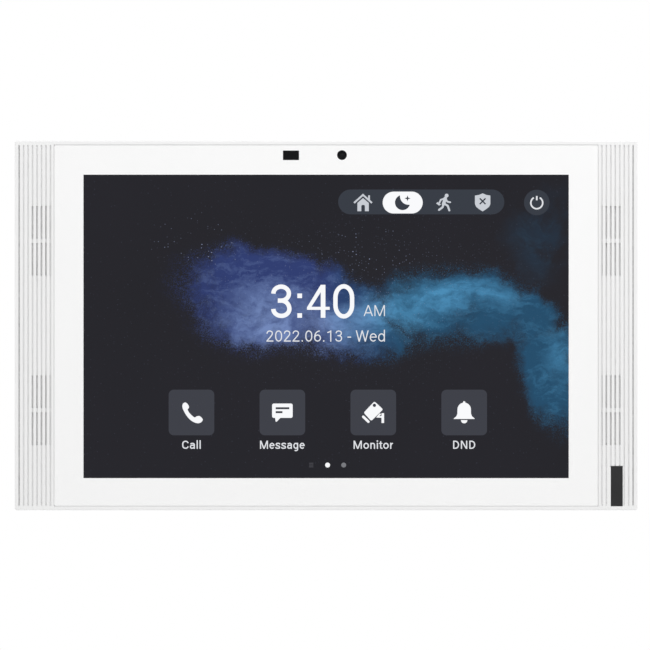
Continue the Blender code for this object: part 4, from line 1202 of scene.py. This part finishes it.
def build_trim(white, mesh, screw):
    """The small pieces that sit on the CAD nodes: painted shade strips in the outer grooves, slot floors,
    screws and contacts.
    """
    # a rubber-like grey for the strips in the outermost grooves: painted shade of the deep gap there
    shade_strip_look = soft_rubber("groove_shade_strip", (192, 192, 192), 0.7, 0.25, 0.01)
    sides = (("left", -1), ("right", 1))
    for side_name, side in sides:
        build_groove_shade_strip(side_name, side, shade_strip_look)
    for side_name, side in sides:
        build_slot_floors(side_name, side, mesh, white)
    build_clamp_screws("io_plug", IO_WAYS, IO_PITCH, screw)
    build_clamp_screws("power_plug", POWER_WAYS, POWER_PITCH, screw)
    build_jack_contacts()


def build_body():
    """Finishes, trim and rounded edges of everything that the CAD holds."""
    white = moulded("frame_white", (243, 243, 243), 0.36, 0.3, 0.006, coat=0.15, tone=1.0)
    screw = sheet_metal("screw_steel", (176, 176, 180), 0.3, depth=0.006)
    mesh = dust_mesh()
    dress_nodes(white, mesh, screw)
    build_trim(white, mesh, screw)
    round_edges("front_frame", 0.17)
    round_edges("rear_housing", 0.35)
    for node in ("wall_bracket", "io_plug", "power_plug"):
        round_edges(node, 0.15)


# ---------------------------------------------------------------- studio
def area_light(name, place, size, watts):
    """A square soft light, size millimetres across, aimed at the frame's origin."""
    lamp = bpy.data.lights.new(name, "AREA")
    lamp.size = size * MM
    lamp.energy = watts
    obj = bpy.data.objects.new(name, lamp)
    obj.location = Vector(place) * MM
    obj.rotation_euler = (-obj.location).to_track_quat("-Z", "Y").to_euler()
    bpy.context.scene.collection.objects.link(obj)


def build_camera():
    """Looks straight at the front, far enough away for PICTURE_WIDTH to fill the picture."""
    cam = bpy.data.cameras.new("camera")
    cam.lens = LENS_MM
    cam.sensor_width = SENSOR_MM
    cam.clip_start = 0.01
    cam.clip_end = 20.0
    eye = bpy.data.objects.new("camera", cam)
    distance = PICTURE_WIDTH * LENS_MM / SENSOR_MM
    eye.location = Vector((AIM_X, FRONT_Y - distance, AIM_Z)) * MM
    eye.rotation_euler = (math.radians(90.0), 0.0, 0.0)
    bpy.context.scene.collection.objects.link(eye)
    bpy.context.scene.camera = eye


def build_world():
    """A white backdrop, and a dome of light that is dim only where the front faces it squarely."""
    world = bpy.data.worlds.new("studio")
    bpy.context.scene.world = world
    world.use_nodes = True
    nodes = world.node_tree.nodes
    links = world.node_tree.links
    nodes.clear()
    coords = nodes.new("ShaderNodeTexCoord")
    split = nodes.new("ShaderNodeSeparateXYZ")
    links.new(coords.outputs["Generated"], split.inputs[0])
    ease = nodes.new("ShaderNodeMapRange")
    ease.interpolation_type = "SMOOTHSTEP"
    for key, number in zip(("From Min", "From Max", "To Min", "To Max"), (*DOME_TURN, *DOME_LEVELS)):
        ease.inputs[key].default_value = number
    links.new(split.outputs["Y"], ease.inputs["Value"])
    dome = nodes.new("ShaderNodeBackground")
    dome.inputs["Color"].default_value = (1.0, 1.0, 1.0, 1.0)
    links.new(ease.outputs["Result"], dome.inputs["Strength"])
    backdrop = nodes.new("ShaderNodeBackground")
    backdrop.inputs["Color"].default_value = (1.0, 1.0, 1.0, 1.0)
    backdrop.inputs["Strength"].default_value = 1.0
    path = nodes.new("ShaderNodeLightPath")
    choose = nodes.new("ShaderNodeMixShader")
    links.new(path.outputs["Is Camera Ray"], choose.inputs["Fac"])
    links.new(dome.outputs[0], choose.inputs[1])
    links.new(backdrop.outputs[0], choose.inputs[2])
    out = nodes.new("ShaderNodeOutputWorld")
    links.new(choose.outputs[0], out.inputs["Surface"])


def build_floor():
    """A pale round floor well below the object."""
    bm = bmesh.new()
    edge = [bm.verts.new((x * MM, y * MM, FLOOR_Z * MM)) for x, y in disc(0.0, 0.0, FLOOR_R, 96)]
    bm.faces.new(edge)
    mesh = bpy.data.meshes.new("floor")
    bm.to_mesh(mesh)
    bm.free()
    look = Look("floor_paint", 0.7)
    look.tint(look.noise(120.0, 3.0), (236, 236, 235), (242, 242, 241))
    mesh.materials.append(look.mat)
    floor = bpy.data.objects.new("floor", mesh)
    bpy.context.scene.collection.objects.link(floor)


def build_studio():
    """Camera, soft light and floor."""
    bpy.context.scene.view_settings.view_transform = "Standard"
    bpy.context.scene.view_settings.look = "None"
    build_camera()
    build_world()
    area_light("top_light", (150.0, -420.0, 480.0), 300.0, 0.42)
    area_light("key_light", (620.0, -820.0, 760.0), 700.0, 3.2)
    area_light("fill_light", (-760.0, -700.0, 300.0), 700.0, 1.0)
    build_floor()


build_studio()
build_front_panel()
build_camera_eye()
build_sensor_pane()
build_display()
build_body()
